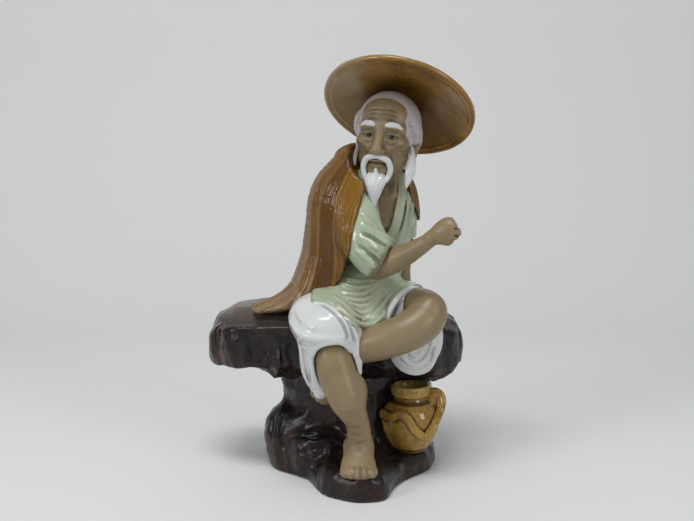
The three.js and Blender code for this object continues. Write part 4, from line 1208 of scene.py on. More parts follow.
SKULL = [
    egg((0, 2.4, 6), (16.2, 18.6, 18.6)), egg((0, -5.8, -5.6), (13.2, 12.4, 18)),
    egg((0, -6, 10.4), (13, 11, 11)), egg((0, -10.6, -20), (6.8, 6.8, 5.2)),
]
CHEEKBONES = pair(lambda s: egg((s * 9.4, -11.6, -5), (4.8, 4.4, 3.8)))
JAWS = pair(lambda s: egg((s * 8.6, -3, -14), (4.4, 8, 6)))
CHEEK_HOLLOWS = pair(lambda s: egg((s * 13, -14.6, -13), (4.6, 4.4, 6)))
SOCKETS = pair(lambda s: egg((s * 6.5, -20.2, 0.5), (4.5, 4.2, 2.8)))
brow = Limb([
    (-10.8, -13, 4.4, 2), (-5.6, -16.6, 5.2, 2.2), (0, -17, 4.6, 2), (5.6, -16.6, 5.2, 2.2),
    (10.8, -13, 4.4, 2),
], bends=12)
nose = Limb([
    (0, -16.8, 4, 1.9, 1.8), (0, -18.6, -1.5, 1.9, 2.1), (0, -20.6, -6.4, 2.4, 2.5),
    (0, -21.2, -8.8, 3, 2.8),
], bends=8)
NOSE_WINGS = pair(lambda s: egg((s * 3, -18.8, -9.8), (1.9, 2.4, 1.8)))
NOSTRILS = pair(lambda s: egg((s * 1.7, -20.2, -11.9), (1, 1.3, 0.9)))
LIPS = [egg((0, -17.6, -14.7), (4.4, 1.9, 1.2)), egg((0, -17.4, -17.1), (3.7, 1.9, 1.4))]
MOUTH = [(-5.4, -16.2), (-2.6, -15.7), (0, -15.8), (2.6, -15.7), (5.4, -16.2)]
EYEBALL = [(6.4, -12.5, -0.4), (4, 4.1, 3.3)]
UPPER_LID = 0.75
LOWER_LID = -1.75
LID_BOW = 0.05
IRIS_RADIUS = 1.45
IRIS_EDGE = 0.3
EYE_FRONT = -14


def bare_face(p):
    """The skull and the face without eyes and lines."""
    d = melted(SKULL[0](p), p, SKULL[1:] + CHEEKBONES + JAWS, 5)
    d = melt(carved(d, p, CHEEK_HOLLOWS, 5), brow(p), 3)
    d = melt(carved(d, p, SOCKETS, 3.4), nose(p), 2.6)
    return melted(d, p, NOSE_WINGS + LIPS, 1.4)


def wrinkle(spots, radius):
    """A shallow line scored on the face through places given from the front."""
    return front_fold(bare_face, spots, radius, sink=-0.5, bends=4)


FOREHEAD_LINES = (8.6, 11.4, 14)
FOREHEAD_WAVE = [(-7.5, 0), (-3, 1.1), (0, 0.9), (3, 1.1), (7.5, 0)]
WRINKLES = [wrinkle([(x, z + up) for x, up in FOREHEAD_WAVE], 0.75) for z in FOREHEAD_LINES]
WRINKLES += pair(lambda s: wrinkle([(s * 4.6, -9.4), (s * 6.6, -11.8), (s * 7.8, -15.4)], 0.9))
WRINKLES += pair(lambda s: wrinkle([(s * 4, -3.6), (s * 6.6, -4.7), (s * 9.2, -3.9)], 0.5))
mouth_line = front_fold(bare_face, MOUTH, 0.5, sink=0, bends=5)


def eye(s):
    """Eyeball with relaxed lids that cover it above and below the slit."""
    (x, y, z), radii = EYEBALL
    ball = egg((s * x, y, z), radii)
    upper = egg((s * x, y, z), [r + 0.6 for r in radii])
    lower = egg((s * x, y, z), [r + 0.45 for r in radii])

    def field(p):
        bow = LID_BOW * (p[:, 0] - s * x) ** 2
        d = melt(ball(p), meet(upper(p), UPPER_LID - bow - p[:, 2], 0.4), 0.2)
        return melt(d, meet(lower(p), p[:, 2] - LOWER_LID - bow, 0.4), 0.2)
    return field


EYES = pair(eye)


def head(p):
    """The head without hair and ears."""
    d = carved(melted(bare_face(p), p, EYES, 0.7), p, NOSTRILS, 0.6)
    return carved(carve(d, mouth_line(p), 0.7), p, WRINKLES, 1.0)


def iris(points):
    """1 inside the dark of each eye, which looks ahead."""
    (x, y, z), radii = EYEBALL
    dark = np.zeros(len(points))
    for s in (-1, 1):
        on_ball = 1 - step(np.abs(egg((s * x, y, z), radii)(points.astype(np.float32))), 0.12, 0.3)
        gap = np.hypot(points[:, 0] - s * x * 0.98, points[:, 2] - z)
        inside = 1 - step(gap, IRIS_RADIUS, IRIS_RADIUS + IRIS_EDGE)
        dark = np.maximum(dark, inside * on_ball * (points[:, 1] < EYE_FRONT))
    return dark


def ear(s):
    """One ear, with a hollow bowl."""
    shell = Limb([
        (s * 16, 4.6, 5.6, 1.5, 3.4), (s * 17.2, 4.4, 2, 1.6, 4), (s * 16.8, 3.2, -3.4, 1.6, 3),
        (s * 16.2, 2, -8.4, 1.7, 2.5), (s * 15.8, 1.4, -12, 1.5, 2),
    ], bends=12)
    bowl = Limb(
        [(s * 18.8, 3.6, 3.8, 1.3, 2), (s * 19, 3.2, 0.4, 1.4, 2), (s * 18.6, 2.2, -2.4, 1.2, 1.2)], bends=6)
    root = egg((s * 14.6, 2.4, -0.5), (2.4, 3, 6))

    def field(p):
        return carve(melt(shell(p), root(p), 1.4), bowl(p), 0.8)
    return field


hair_cap = egg((0, 2.4, 6.2), (18, 20.2, 20))
HAIR_SIDES = pair(lambda s: Limb(
    [(s * 15.4, -7, 10, 2, 4), (s * 16.8, -0.6, 4, 2.2, 5), (s * 15.8, 8, -3, 2.4, 6)], bends=8))
HAIR_END = -10.5
face_window = Limb([(0, -20, -26, 22, 19), (0, -20, -2, 14.8, 19), (0, -20, 6, 13.6, 16.4)], bends=8)


def hair(p):
    """Combed hair round the face, over the crown and down the sides."""
    d = carve(hair_cap(p), face_window(p), 1.2)
    d = melted(meet(d, HAIR_END - p[:, 2], 1.5), p, HAIR_SIDES, 2)
    x, y, z = p[:, 0], p[:, 1], p[:, 2]
    side = step(np.abs(x), 8, 14)
    across = x * (1 - side) + np.sign(x) * (z * 0.8 + y * 0.55 + 30) * side
    return d + 0.1 - 0.2 * strands(across / 1.5, (y - z) * 0.06, 61, 0.6)


def lock(limb, count, depth, seed):
    """Hair along a limb: strands round it, with a little wave."""
    def field(p):
        where, angle = limb.grain(p)
        across = angle / (2 * np.pi) * count + where * 0.8
        return limb(p) + depth * 0.5 - depth * strands(across, where * 3, seed, 0.5)
    return field


def eyebrow(s):
    """One bushy eyebrow."""
    return lock(Limb([
        (s * 3.2, -18.5, 5.6, 1.3, 0.9), (s * 6, -18.3, 6.4, 1.7, 1.2), (s * 9.2, -16.4, 5.9, 1.5, 1.1),
        (s * 12, -13.8, 3.8, 0.7, 0.6),
    ], bends=10), 9, 0.35, 21)


MOUSTACHE_MIDDLE = (0, -19.6, -12.2, 1.2, 1.1)
MOUSTACHE_SIDE = [
    (2.6, -19.3, -12.3, 1.6, 1.3), (6, -17.6, -14, 1.7, 1.4), (7.6, -15.8, -18, 1.6, 1.4),
    (7, -15.2, -22.4, 1.5, 1.3), (5.4, -15.6, -26, 1.3, 1.2),
]
mirrored_side = [(-x, *others) for x, *others in reversed(MOUSTACHE_SIDE)]
moustache_limb = Limb(mirrored_side + [MOUSTACHE_MIDDLE] + MOUSTACHE_SIDE, bends=30, ends=0.6)
moustache = lock(moustache_limb, 8, 0.3, 23)
goatee_limb = Limb([
    (0, -15, -23.6, 5.4, 3), (0, -16.4, -27.4, 5.8, 3.4), (0.2, -16.6, -32, 4.2, 3),
    (0.4, -16, -37.4, 2.1, 2), (0.6, -15.2, -42.4, 0.7, 0.7),
], bends=14)
soul_patch = Limb(
    [(0, -17.7, -19.4, 0.9, 0.9), (0, -17.6, -22, 1.5, 1.2), (0, -17.6, -26, 2.6, 1.6)], bends=6)
goatee_strands = lock(goatee_limb, 15, 0.45, 25)


def goatee(p):
    """The pointed beard, with the tuft under the lip."""
    return melt(goatee_strands(p), soul_patch(p), 1.0)


def sidelock(s):
    """One lock of hair that hangs before an ear."""
    return lock(Limb([
        (s * 15.4, -3, -6, 1.2, 1.2), (s * 16.6, -5.6, -12, 2.2, 2.2), (s * 17, -8, -18.6, 2.9, 2.4),
        (s * 16.6, -9.4, -24.4, 1.9, 1.6), (s * 16.2, -10, -28.4, 0.6, 0.6),
    ], bends=12), 9, 0.4, 27 + s)


# Pieces: node, field, corners of the space it is cast in, voxel, glaze slot

WORLD_PIECES = [
    ("rock_base", rock_base, (-56, -66, -1), (66, 52, 66), 0.95, "rock_glaze"),
    ("rock_ledge", rock_ledge, (-88, -26, 40), (78, 52, 102), 0.95, "rock_glaze"),
    ("jar_sling", jar_sling, (20, -28, 12), (68, 18, 60), 0.4, "jar_glaze"),
    ("right_leg", right_leg, (-22, -62, 12), (22, -22, 100), 0.55, "bare_clay"),
    ("right_foot", right_foot, (-2, -64, 12), (22, -20, 32), 0.36, "bare_clay"),
    ("left_leg", left_leg, (-12, -50, 66), (68, 24, 118), 0.6, "bare_clay"),
    ("left_foot", left_foot, (-22, -40, 44), (12, -16, 90), 0.45, "bare_clay"),
    ("right_trouser_leg", right_trouser, (-38, -60, 46), (26, 28, 122), 0.6, "white_glaze"),
    ("left_trouser_leg", left_trouser, (8, -38, 60), (66, 28, 124), 0.6, "white_glaze"),
    ("chest", chest, (-12, -18, 90), (50, 34, 200), 0.7, "bare_clay"),
    ("tunic", tunic, (-14, -20, 88), (52, 36, 182), 0.6, "celadon_glaze"),
    ("tunic_skirt", tunic_skirt, (-36, -42, 84), (54, 26, 130), 0.5, "celadon_glaze"),
    ("left_lapel", left_lapel, (12, -24, 130), (50, 14, 196), 0.4, "celadon_glaze"),
    ("right_lapel", right_lapel, (4, -24, 130), (36, 14, 196), 0.4, "celadon_glaze"),
    ("right_forearm", right_forearm, (8, -48, 116), (62, -10, 156), 0.5, "bare_clay"),
    ("right_fist", right_fist, (46, -54, 138), (72, -32, 164), 0.34, "bare_clay"),
    ("right_sleeve", right_sleeve, (-14, -46, 108), (46, 20, 192), 0.55, "celadon_glaze"),
    ("left_sleeve", left_sleeve, (22, -6, 136), (50, 22, 184), 0.55, "celadon_glaze"),
    ("left_forearm", left_forearm, (28, -2, 108), (48, 20, 158), 0.5, "bare_clay"),
    ("left_hand", left_hand, (30, -2, 94), (58, 24, 122), 0.4, "bare_clay"),
    ("cape", cape, (-62, -30, 94), (56, 46, 202), 0.61, "amber_glaze"),
]
HEAD_PIECES = [
    ("head", head, (-19, -28, -28), (19, 22, 27), 0.3, "bare_clay"),
    ("right_ear", ear(-1), (-22, -6, -16), (-10, 12, 12), 0.25, "bare_clay"),
    ("left_ear", ear(1), (10, -6, -16), (22, 12, 12), 0.25, "bare_clay"),
    ("hair", hair, (-22, -22, -14), (22, 26, 29), 0.38, "white_glaze"),
    ("right_eyebrow", eyebrow(-1), (-16, -23, -1), (0, -9, 10), 0.22, "white_glaze"),
    ("left_eyebrow", eyebrow(1), (0, -23, -1), (16, -9, 10), 0.22, "white_glaze"),
    ("moustache", moustache, (-13, -24, -28), (13, -9, -7), 0.24, "white_glaze"),
    ("goatee", goatee, (-13, -24, -46), (13, -6, -14), 0.28, "white_glaze"),
    ("right_sidelock", sidelock(-1), (-24, -15, -32), (-12, 4, -2), 0.26, "white_glaze"),
    ("left_sidelock", sidelock(1), (12, -15, -32), (24, 4, -2), 0.26, "white_glaze"),
]

# How deep a glaze feels for the hollows and edges that it pools in and breaks on

MARK_DEPTH = {
    "rock_glaze": 2.4, "amber_glaze": 1.1, "celadon_glaze": 1.6, "white_glaze": 1.2, "bare_clay": 1.0,
    "jar_glaze": 1.2,
}


def cast_piece(spec, in_head):
    """One piece: its node, points, faces, marks and glaze slot."""
    name, field, low, high, voxel, slot = spec
    points, faces = cast(field, low, high, voxel)
    marks = glaze_marks(field, points, faces, MARK_DEPTH[slot])
    if name == "cape":
        _, marks["strand"], marks["tail"] = cape_strands(points.astype(np.float32))
    if name == "head":
        marks["iris"] = iris(points)
    if in_head:
        points = from_head(points)
    return name, points, faces, marks, slot


def cast_all():
    """All pieces that are cast, in the order of their lists."""
    jobs = [(spec, False) for spec in WORLD_PIECES] + [(spec, True) for spec in HEAD_PIECES]
    with ThreadPoolExecutor(4) as pool:
        return list(pool.map(lambda job: cast_piece(*job), jobs))


# Node trees

class Wire:
    """A value in a node tree that is reckoned with as a number is: each sign adds a maths node."""

    def __init__(self, tree, socket):
        self.tree = tree
        self.socket = socket

    def apply(self, operation, *others):
        """Result of a maths node on this value and others."""
        return maths(self.tree, operation, self, *others)

    def __add__(self, other):
        return self.apply("ADD", other)

    def __sub__(self, other):
        return self.apply("SUBTRACT", other)

    def __rsub__(self, other):
        return maths(self.tree, "SUBTRACT", other, self)

    def __mul__(self, other):
        return self.apply("MULTIPLY", other)

    def __truediv__(self, other):
        return self.apply("DIVIDE", other)

    def __pow__(self, other):
        return self.apply("POWER", other)

    def __abs__(self):
        return self.apply("ABSOLUTE")


def link(tree, value, socket):
    """Joins a wire to an input, or sets the input where a plain value is given."""
    if isinstance(value, Wire):
        tree.links.new(value.socket, socket)
    else:
        socket.default_value = value


def wires(tree, node):
    """The outputs of a node, by name."""
    return {socket.name: Wire(tree, socket) for socket in node.outputs if socket.enabled}


def add(tree, kind, settings=None, **values):
    """A new node with its settings and inputs, where _ stands for a space. Gives its outputs by name."""
    node = tree.nodes.new(kind)
    for name, value in (settings or {}).items():
        setattr(node, name, value)
    for label, value in values.items():
        link(tree, value, node.inputs[label.replace("_", " ")])
    return wires(tree, node)


def maths(tree, operation, *values):
    """Result of a maths node."""
    node = tree.nodes.new("ShaderNodeMath")
    node.operation = operation
    for value, socket in zip(values, node.inputs):
        link(tree, value, socket)
    return Wire(tree, node.outputs[0])


def ramp(value, low, high, start=0.0, end=1.0):
    """Smooth change from start, where a value is low, to end, where it is high."""
    return add(
        value.tree, "ShaderNodeMapRange", {"interpolation_type": "SMOOTHSTEP"},
        Value=value, From_Min=low, From_Max=high, To_Min=start, To_Max=end)["Result"]


def mix(share, colour, other):
    """A colour that goes over to another by a share."""
    return add(share.tree, "ShaderNodeMix", {"data_type": "RGBA"}, Factor=share, A=colour, B=other)["Result"]


# Hat: Geometry Nodes roll a flat sheet into a cone of two skins and raise its straws

HAT_SOCKETS = [
    ("Radius", "NodeSocketFloat", HAT_RADIUS), ("Rise", "NodeSocketFloat", HAT_RISE),
    ("Thickness", "NodeSocketFloat", HAT_THICKNESS), ("Straws", "NodeSocketInt", 110),
    ("Straw depth", "NodeSocketFloat", 0.34), ("Rim band", "NodeSocketFloat", 0.885),
    ("Seed", "NodeSocketInt", 7), ("Glaze", "NodeSocketMaterial", None),
]
HAT_AROUND = 505
HAT_ACROSS = 96
HAT_WELD = 0.004
RIM_CROWDING = 0.8
WANDER_SCALE = 3
STRAW_WANDER = 0.22
STRAW_START = (0.22, 0.45)
STRAW_END = 0.015
STRAW_PAST_BAND = 0.16
WORN_NOISE = (0.4, 0.62)
WORN_STRAW = 0.4
BAND_RING_WIDTH = 0.014
BAND_RING_HEIGHT = 0.45
RIM_ROUNDING = 0.62
CONE_CURVE = 1.12
RIM_DROOP = 1.4


def hat_tree():
    """The sheet's X runs round the hat, and its Y from under the crown over the rim to the crown's top."""
    tree = bpy.data.node_groups.new("Straw hat", "GeometryNodeTree")
    tree.interface.new_socket("Geometry", in_out="OUTPUT", socket_type="NodeSocketGeometry")
    for label, kind, value in HAT_SOCKETS:
        socket = tree.interface.new_socket(label, in_out="INPUT", socket_type=kind)
        if value is not None:
            socket.default_value = value
    given = wires(tree, tree.nodes.new("NodeGroupInput"))
    thickness = given["Thickness"]
    band = given["Rim band"]

    sheet = add(
        tree, "GeometryNodeMeshGrid", Size_X=1, Size_Y=1, Vertices_X=HAT_AROUND, Vertices_Y=HAT_ACROSS)
    place = add(tree, "ShaderNodeSeparateXYZ", Vector=add(tree, "GeometryNodeInputPosition")["Position"])
    around = (place["X"] + 0.5) * (2 * math.pi)
    cosine = around.apply("COSINE")
    sine = around.apply("SINE")
    travel = place["Y"] + 0.5
    share = (1 - abs(travel * 2 - 1)) ** RIM_CROWDING
    upper = (travel - 0.5).apply("SIGN")
    seat = add(tree, "ShaderNodeCombineXYZ", X=cosine * share, Y=sine * share, Z=upper * 0.4)["Vector"]
    wander = add(
        tree, "ShaderNodeTexNoise", {"noise_dimensions": "4D"},
        Vector=seat, W=given["Seed"], Scale=WANDER_SCALE)["Fac"]

    straw = abs(((around + (wander - 0.5) * STRAW_WANDER) * (given["Straws"] / 2)).apply("SINE"))
    past_crown = ramp(share, *STRAW_START)
    before_band = ramp(share, band - STRAW_END, band, 1.0, STRAW_PAST_BAND)
    worn = ramp(wander, *WORN_NOISE, WORN_STRAW, 1.0)
    ribs = straw * given["Straw depth"] * (past_crown * before_band * worn)
    from_band = (share - band) / BAND_RING_WIDTH
    ring = (from_band * from_band * -1).apply("EXPONENT") * BAND_RING_HEIGHT

    rim_share = thickness * RIM_ROUNDING / given["Radius"]
    past_rim = ((share - (1 - rim_share)) / rim_share).apply("MAXIMUM", 0)
    rounded = (1 - past_rim * past_rim).apply("MAXIMUM", 0).apply("SQRT")
    skin = (thickness * 0.5 + (ribs + ring)) * rounded * upper
    cone = given["Rise"] * (1 - share) ** CONE_CURVE
    droop = (wander - 0.5) * (share * RIM_DROOP)
    radius = share * given["Radius"]
    moved = add(tree, "ShaderNodeCombineXYZ", X=cosine * radius, Y=sine * radius, Z=cone + skin + droop)

    marked = sheet["Mesh"]
    for label, value in (("share", share), ("straw", straw.apply("MAXIMUM", 1 - worn))):
        marked = add(
            tree, "GeometryNodeStoreNamedAttribute", {"data_type": "FLOAT", "domain": "POINT"},
            Geometry=marked, Name=label, Value=value)["Geometry"]
    shaped = add(tree, "GeometryNodeSetPosition", Geometry=marked, Position=moved["Vector"])["Geometry"]
    welded = add(tree, "GeometryNodeMergeByDistance", Geometry=shaped, Distance=HAT_WELD)["Geometry"]
    real = add(tree, "GeometryNodeRealizeInstances", Geometry=welded)["Geometry"]
    painted = add(tree, "GeometryNodeSetMaterial", Geometry=real, Material=given["Glaze"])["Geometry"]
    link(tree, painted, tree.nodes.new("NodeGroupOutput").inputs[0])
    return tree


def hat_object(glaze):
    """The hat as a plain mesh, tilted onto the head."""
    holder = bpy.data.objects.new("hat_form", bpy.data.meshes.new("hat_form"))
    bpy.context.collection.objects.link(holder)
    modifier = holder.modifiers.new("Straw hat", "NODES")
    modifier.node_group = hat_tree()
    for item in modifier.node_group.interface.items_tree:
        if item.name == "Glaze":
            modifier[item.identifier] = glaze
    evaluated = holder.evaluated_get(bpy.context.evaluated_depsgraph_get())
    mesh = bpy.data.meshes.new_from_object(evaluated)
    bpy.data.objects.remove(holder)
    turned = Vector((0, 0, 1)).rotation_difference(Vector(HAT_AXIS)).to_matrix().to_4x4()
    placed = Matrix.Translation((Vector(HAT_CENTRE) + Vector(SHIFT)) * MM) @ turned @ Matrix.Scale(MM, 4)
    mesh.transform(placed)
    mesh.name = "clay_hat"
    mesh.shade_smooth()
    piece = bpy.data.objects.new("clay_hat", mesh)
    bpy.context.collection.objects.link(piece)
    return piece


# Glazes

PLACE = "NodeSocketVector"
VALUE = "NodeSocketFloat"
COLOUR = "NodeSocketColor"


def shader_group(name, inputs, outputs):
    """An empty shader node group, with what its inputs give and the sockets of its outputs."""
    tree = bpy.data.node_groups.new(name, "ShaderNodeTree")
    for label, kind, value in inputs:
        socket = tree.interface.new_socket(label, in_out="INPUT", socket_type=kind)
        socket.default_value = value
    for label, kind in outputs:
        tree.interface.new_socket(label, in_out="OUTPUT", socket_type=kind)
    return tree, wires(tree, tree.nodes.new("NodeGroupInput")), tree.nodes.new("NodeGroupOutput").inputs


def cloud(place, scale, detail, roughness=0.5):
    """Cloudy noise from 0 to 1 over a place."""
    noise_node = add(
        place.tree, "ShaderNodeTexNoise", Vector=place, Scale=scale, Detail=detail, Roughness=roughness)
    return noise_node["Fac"]


def paint(red, green, blue):
    """A colour that hides what is under it."""
    return (red, green, blue, 1.0)


def glaze_break_group():
    """Colour of a glaze that is deep in hollows and breaks to a lighter tone on edges, with kiln mottling."""
    tree, given, out = shader_group("Glaze break", [
        ("Vector", PLACE, (0, 0, 0)), ("Pool", VALUE, 0.0), ("Thin", VALUE, 0.0),
        ("Deep colour", COLOUR, paint(0, 0, 0)), ("Glaze colour", COLOUR, paint(0.5, 0.5, 0.5)),
        ("Edge colour", COLOUR, paint(1, 1, 1)), ("Mottle colour", COLOUR, paint(0.5, 0.5, 0.5)),
        ("Mottle scale", VALUE, 60.0), ("Mottle amount", VALUE, 0.3),
        ("Pool reach", VALUE, 0.5), ("Edge reach", VALUE, 0.5),
    ], [("Colour", COLOUR), ("Roughness", VALUE), ("Height", VALUE)])
    clouds = cloud(given["Vector"], given["Mottle scale"], 4.0, 0.6)
    fine = cloud(given["Vector"], 520.0, 3.0, 0.6)
    uneven = (fine - 0.5) * 0.35
    patches = ramp(clouds, 0.42, 0.66) * given["Mottle amount"]
    colour = mix(patches, given["Glaze colour"], given["Mottle colour"])
    thin = ramp(given["Thin"] + uneven, given["Edge reach"] * 0.4, given["Edge reach"])
    colour = mix(thin, colour, given["Edge colour"])
    pooled = ramp(given["Pool"] + uneven, 0.04, given["Pool reach"])
    colour = mix(pooled, colour, given["Deep colour"])
    link(tree, colour, out["Colour"])
    link(tree, ramp(clouds, 0.3, 0.8) * 0.1 + 0.08, out["Roughness"])
    link(tree, clouds * 0.6 + fine * 0.12, out["Height"])
    return tree


def speckle_group():
    """Small iron specks and pin holes of fired clay, as a mask."""
    tree, given, out = shader_group(
        "Fired specks", [("Vector", PLACE, (0, 0, 0)), ("Scale", VALUE, 900.0), ("Amount", VALUE, 0.2)],
        [("Mask", VALUE)])
    cells = add(tree, "ShaderNodeTexVoronoi", Vector=given["Vector"], Scale=given["Scale"])
    chance = add(tree, "ShaderNodeSeparateColor", Color=cells["Color"])["Red"]
    dot = 1 - ramp(cells["Distance"], 0.12, 0.34)
    link(tree, dot * chance.apply("LESS_THAN", given["Amount"]), out["Mask"])
    return tree


GLAZE_BREAK = glaze_break_group()
SPECKS = speckle_group()


class Finish:
    """A material under way: its tree, its shader and its object coordinates."""

    def __init__(self, name):
        self.material = bpy.data.materials.new(name)
        self.material.use_nodes = True
        self.tree = self.material.node_tree
        self.shader = self.tree.nodes["Principled BSDF"]
        self.place = add(self.tree, "ShaderNodeTexCoord")["Object"]

    def mark(self, name):
        """A mark that the mesh carries."""
        return add(self.tree, "ShaderNodeAttribute", {"attribute_name": name})["Fac"]

    def axes(self):
        """The place on the object by axis, in metres."""
        return add(self.tree, "ShaderNodeSeparateXYZ", Vector=self.place)

    def streaks(self, squash, scale, roughness=0.5):
        """Noise that is drawn out upright."""
        squashed = add(self.tree, "ShaderNodeMapping", Vector=self.place, Scale=(1.0, 1.0, squash))["Vector"]
        return cloud(squashed, scale, 4.0, roughness)

    def group(self, group, **values):
        """A shader node group, laid over the object's place."""
        return add(self.tree, "ShaderNodeGroup", {"node_tree": group}, Vector=self.place, **values)

    def glaze(self, deep, body, edge, mottle, scale, mottled, pooled, broken, pool=None, thin=None):
        """A glaze in four colours that pools and breaks where the piece's marks, or given masks, say so."""
        return self.group(
            GLAZE_BREAK, Pool=pool or self.mark("pool"), Thin=thin or self.mark("thin"),
            Deep_colour=paint(*deep), Glaze_colour=paint(*body), Edge_colour=paint(*edge),
            Mottle_colour=paint(*mottle), Mottle_scale=scale, Mottle_amount=mottled,
            Pool_reach=pooled, Edge_reach=broken)

    def specks(self, scale, amount):
        """Mask of the fired specks."""
        return self.group(SPECKS, Scale=scale, Amount=amount)["Mask"]

    def bump(self, height, strength, distance=0.001):
        """Raises the surface by a height."""
        raised = add(self.tree, "ShaderNodeBump", Strength=strength, Distance=distance, Height=height)
        link(self.tree, raised["Normal"], self.shader.inputs["Normal"])

    def finish(self, colour, roughness, gloss=0.5):
        """The material, with its colour and its shine set."""
        link(self.tree, colour, self.shader.inputs["Base Color"])
        link(self.tree, roughness, self.shader.inputs["Roughness"])
        self.shader.inputs["Specular IOR Level"].default_value = gloss
        return self.material


LINES_TO_STRAND = 1.5
STRANDS_TO_LOCK = 5.0
LIGHT_STRAW = paint(0.265, 0.138, 0.016)
DARK_STRAW = paint(0.055, 0.022, 0.004)
STRAW_LINE = paint(0.04, 0.017, 0.004)
PALE_STRAW = paint(0.22, 0.175, 0.14)
TAIL_STRAW = paint(0.3, 0.205, 0.1)
# Painted light: the paler colour of the hat's left side
LIT_HAT_SIDE = paint(0.29, 0.222, 0.125)
# Painted shade: the dark towards the crown, round the head under the hat
CROWN_SHADE = paint(0.07, 0.03, 0.006)
JAR_RUN = paint(0.14, 0.062, 0.009)
CLAY_SPECK = paint(0.12, 0.09, 0.055)
EYE_DARK = paint(0.008, 0.006, 0.005)
ROCK_SHEEN = paint(0.02, 0.02, 0.026)
ROCK_RUN = paint(0.07, 0.038, 0.027)
ROCK_LAYER = paint(0.2, 0.165, 0.145)
# Painted light: the lighter colour of the ledge's top
LIT_SEAT_TOP = paint(0.14, 0.115, 0.096)
ROCK_SPECK = paint(0.2, 0.17, 0.16)

# Where a glaze starts to change and where it has changed, in metres in the part's frame

PALE_CAPE_X = (0.0, -0.022)
PALE_CAPE_Z = (0.205, 0.175)
TAIL_GLAZE_X = (-0.022, -0.04)
TAIL_GLAZE_Z = (0.125, 0.108)
# Painted light on the hat's left side, over this span of X
LIT_HAT_SIDE_X = (0.018, 0.006)
ROCK_LAYER_X = (-0.062, -0.074)
# Painted light on the ledge's top, over this span of height
LIT_SEAT_TOP_Z = (0.089, 0.097)


def amber_glaze():
    """Golden brown of the cape: each strand and lock has its own shade, with dark lines between straws."""
    made = Finish("amber_glaze")
    base = made.glaze(
        deep=(0.036, 0.014, 0.003), body=(0.205, 0.096, 0.008), edge=(0.29, 0.16, 0.028),
        mottle=(0.125, 0.052, 0.006), scale=45.0, mottled=0.7, pooled=0.5, broken=0.8)
    strand = made.mark("strand")
    shades = []
    for width in (1.0, STRANDS_TO_LOCK):
        number = (strand / width).apply("FLOOR")
        chance = add(made.tree, "ShaderNodeTexWhiteNoise", {"noise_dimensions": "1D"}, W=number)
        shades.append(chance["Value"])
    shade = shades[0] * 0.45 + shades[1] * 0.55
    colour = mix(ramp(shade, 0.4, 0.85) * 0.5, base["Colour"], LIGHT_STRAW)
    colour = mix(ramp(shade, 0.45, 0.1) * 0.55, colour, DARK_STRAW)
    line = strand * LINES_TO_STRAND + cloud(made.place, 70.0, 2.0) * 2.0
    back = line.apply("PINGPONG", 0.5) * 2.0
    off_seam = ramp(abs(made.mark("tail") - 0.5), 0.05, 0.25)
    groove = ramp(back, 0.55, 0.05) * off_seam
    colour = mix(groove * 0.5, colour, STRAW_LINE)
    place = made.axes()
    pale_side = ramp(place["X"], *PALE_CAPE_X) * ramp(place["Z"], *PALE_CAPE_Z)
    pale_strand = ramp(shade, 0.35, 0.75) * pale_side
    colour = mix(pale_strand * 0.6, colour, PALE_STRAW)
    tail = ramp(place["X"], *TAIL_GLAZE_X) * ramp(place["Z"], *TAIL_GLAZE_Z)
    colour = mix(tail * ramp(back, 0.1, 0.7) * 0.7, colour, TAIL_STRAW)
    made.bump(base["Height"] * 0.3 - groove, 0.3, 0.0006)
    return made.finish(colour, base["Roughness"] + 0.06, 0.38)


def hat_glaze():
    """Brown hat, darker between straws, with painted shade round the crown and painted light on the left."""
    made = Finish("hat_glaze")
    share = made.mark("share")
    gap = (1 - ramp(made.mark("straw"), 0.05, 0.55)) * ramp(share, 0.9, 0.86)
    edge = ramp(share, 0.93, 1.0)
    base = made.glaze(
        deep=(0.06, 0.026, 0.005), body=(0.24, 0.123, 0.02), edge=(0.33, 0.2, 0.05),
        mottle=(0.13, 0.058, 0.009), scale=40.0, mottled=0.8, pooled=0.6, broken=0.7,
        pool=gap * 0.45, thin=edge * 0.5)
    uneven = (cloud(made.place, 34.0, 4.0) - 0.5) * 0.05
    # Painted light: the hat turns paler towards its left side
    pale = ramp(made.axes()["X"] + uneven, *LIT_HAT_SIDE_X)
    colour = mix(pale * 0.75, base["Colour"], LIT_HAT_SIDE)
    # Painted shade: the hat darkens towards its crown, where it shades its underside round the head
    crown = ramp(share, 0.62, 0.3)
    colour = mix(crown * 0.6, colour, CROWN_SHADE)
    made.bump(base["Height"], 0.12)
    return made.finish(colour, base["Roughness"])


def jar_glaze():
    """Yellow-brown of the jar and its strap, with dark runs."""
    made = Finish("jar_glaze")
    base = made.glaze(
        deep=(0.08, 0.034, 0.005), body=(0.38, 0.236, 0.05), edge=(0.46, 0.34, 0.13),
        mottle=(0.25, 0.125, 0.018), scale=95.0, mottled=0.6, pooled=0.5, broken=0.8)
    runs = ramp(made.streaks(0.22, 820.0), 0.46, 0.7)
    colour = mix(runs * 0.6, base["Colour"], JAR_RUN)
    made.bump(base["Height"], 0.15)
    return made.finish(colour, base["Roughness"])


def plain_glaze(name, relief, dull=0.0, gloss=0.5, **tones):
    """A glaze without runs or specks."""
    made = Finish(name)
    base = made.glaze(**tones)
    made.bump(base["Height"], relief)
    return made.finish(base["Colour"], base["Roughness"] + dull, gloss)


def celadon_glaze():
    """Grey-green of the tunic, worn to the clay on its folds."""
    return plain_glaze(
        "celadon_glaze", relief=0.1, deep=(0.12, 0.15, 0.085), body=(0.36, 0.425, 0.3),
        edge=(0.47, 0.39, 0.31), mottle=(0.4, 0.455, 0.35), scale=70.0, mottled=0.5, pooled=0.45, broken=0.5)


def white_glaze():
    """Cool white of the trousers and the beard."""
    return plain_glaze(
        "white_glaze", relief=0.08, deep=(0.36, 0.37, 0.37), body=(0.63, 0.645, 0.64),
        edge=(0.56, 0.52, 0.47), mottle=(0.58, 0.59, 0.59), scale=60.0, mottled=0.5, pooled=0.6, broken=0.95)


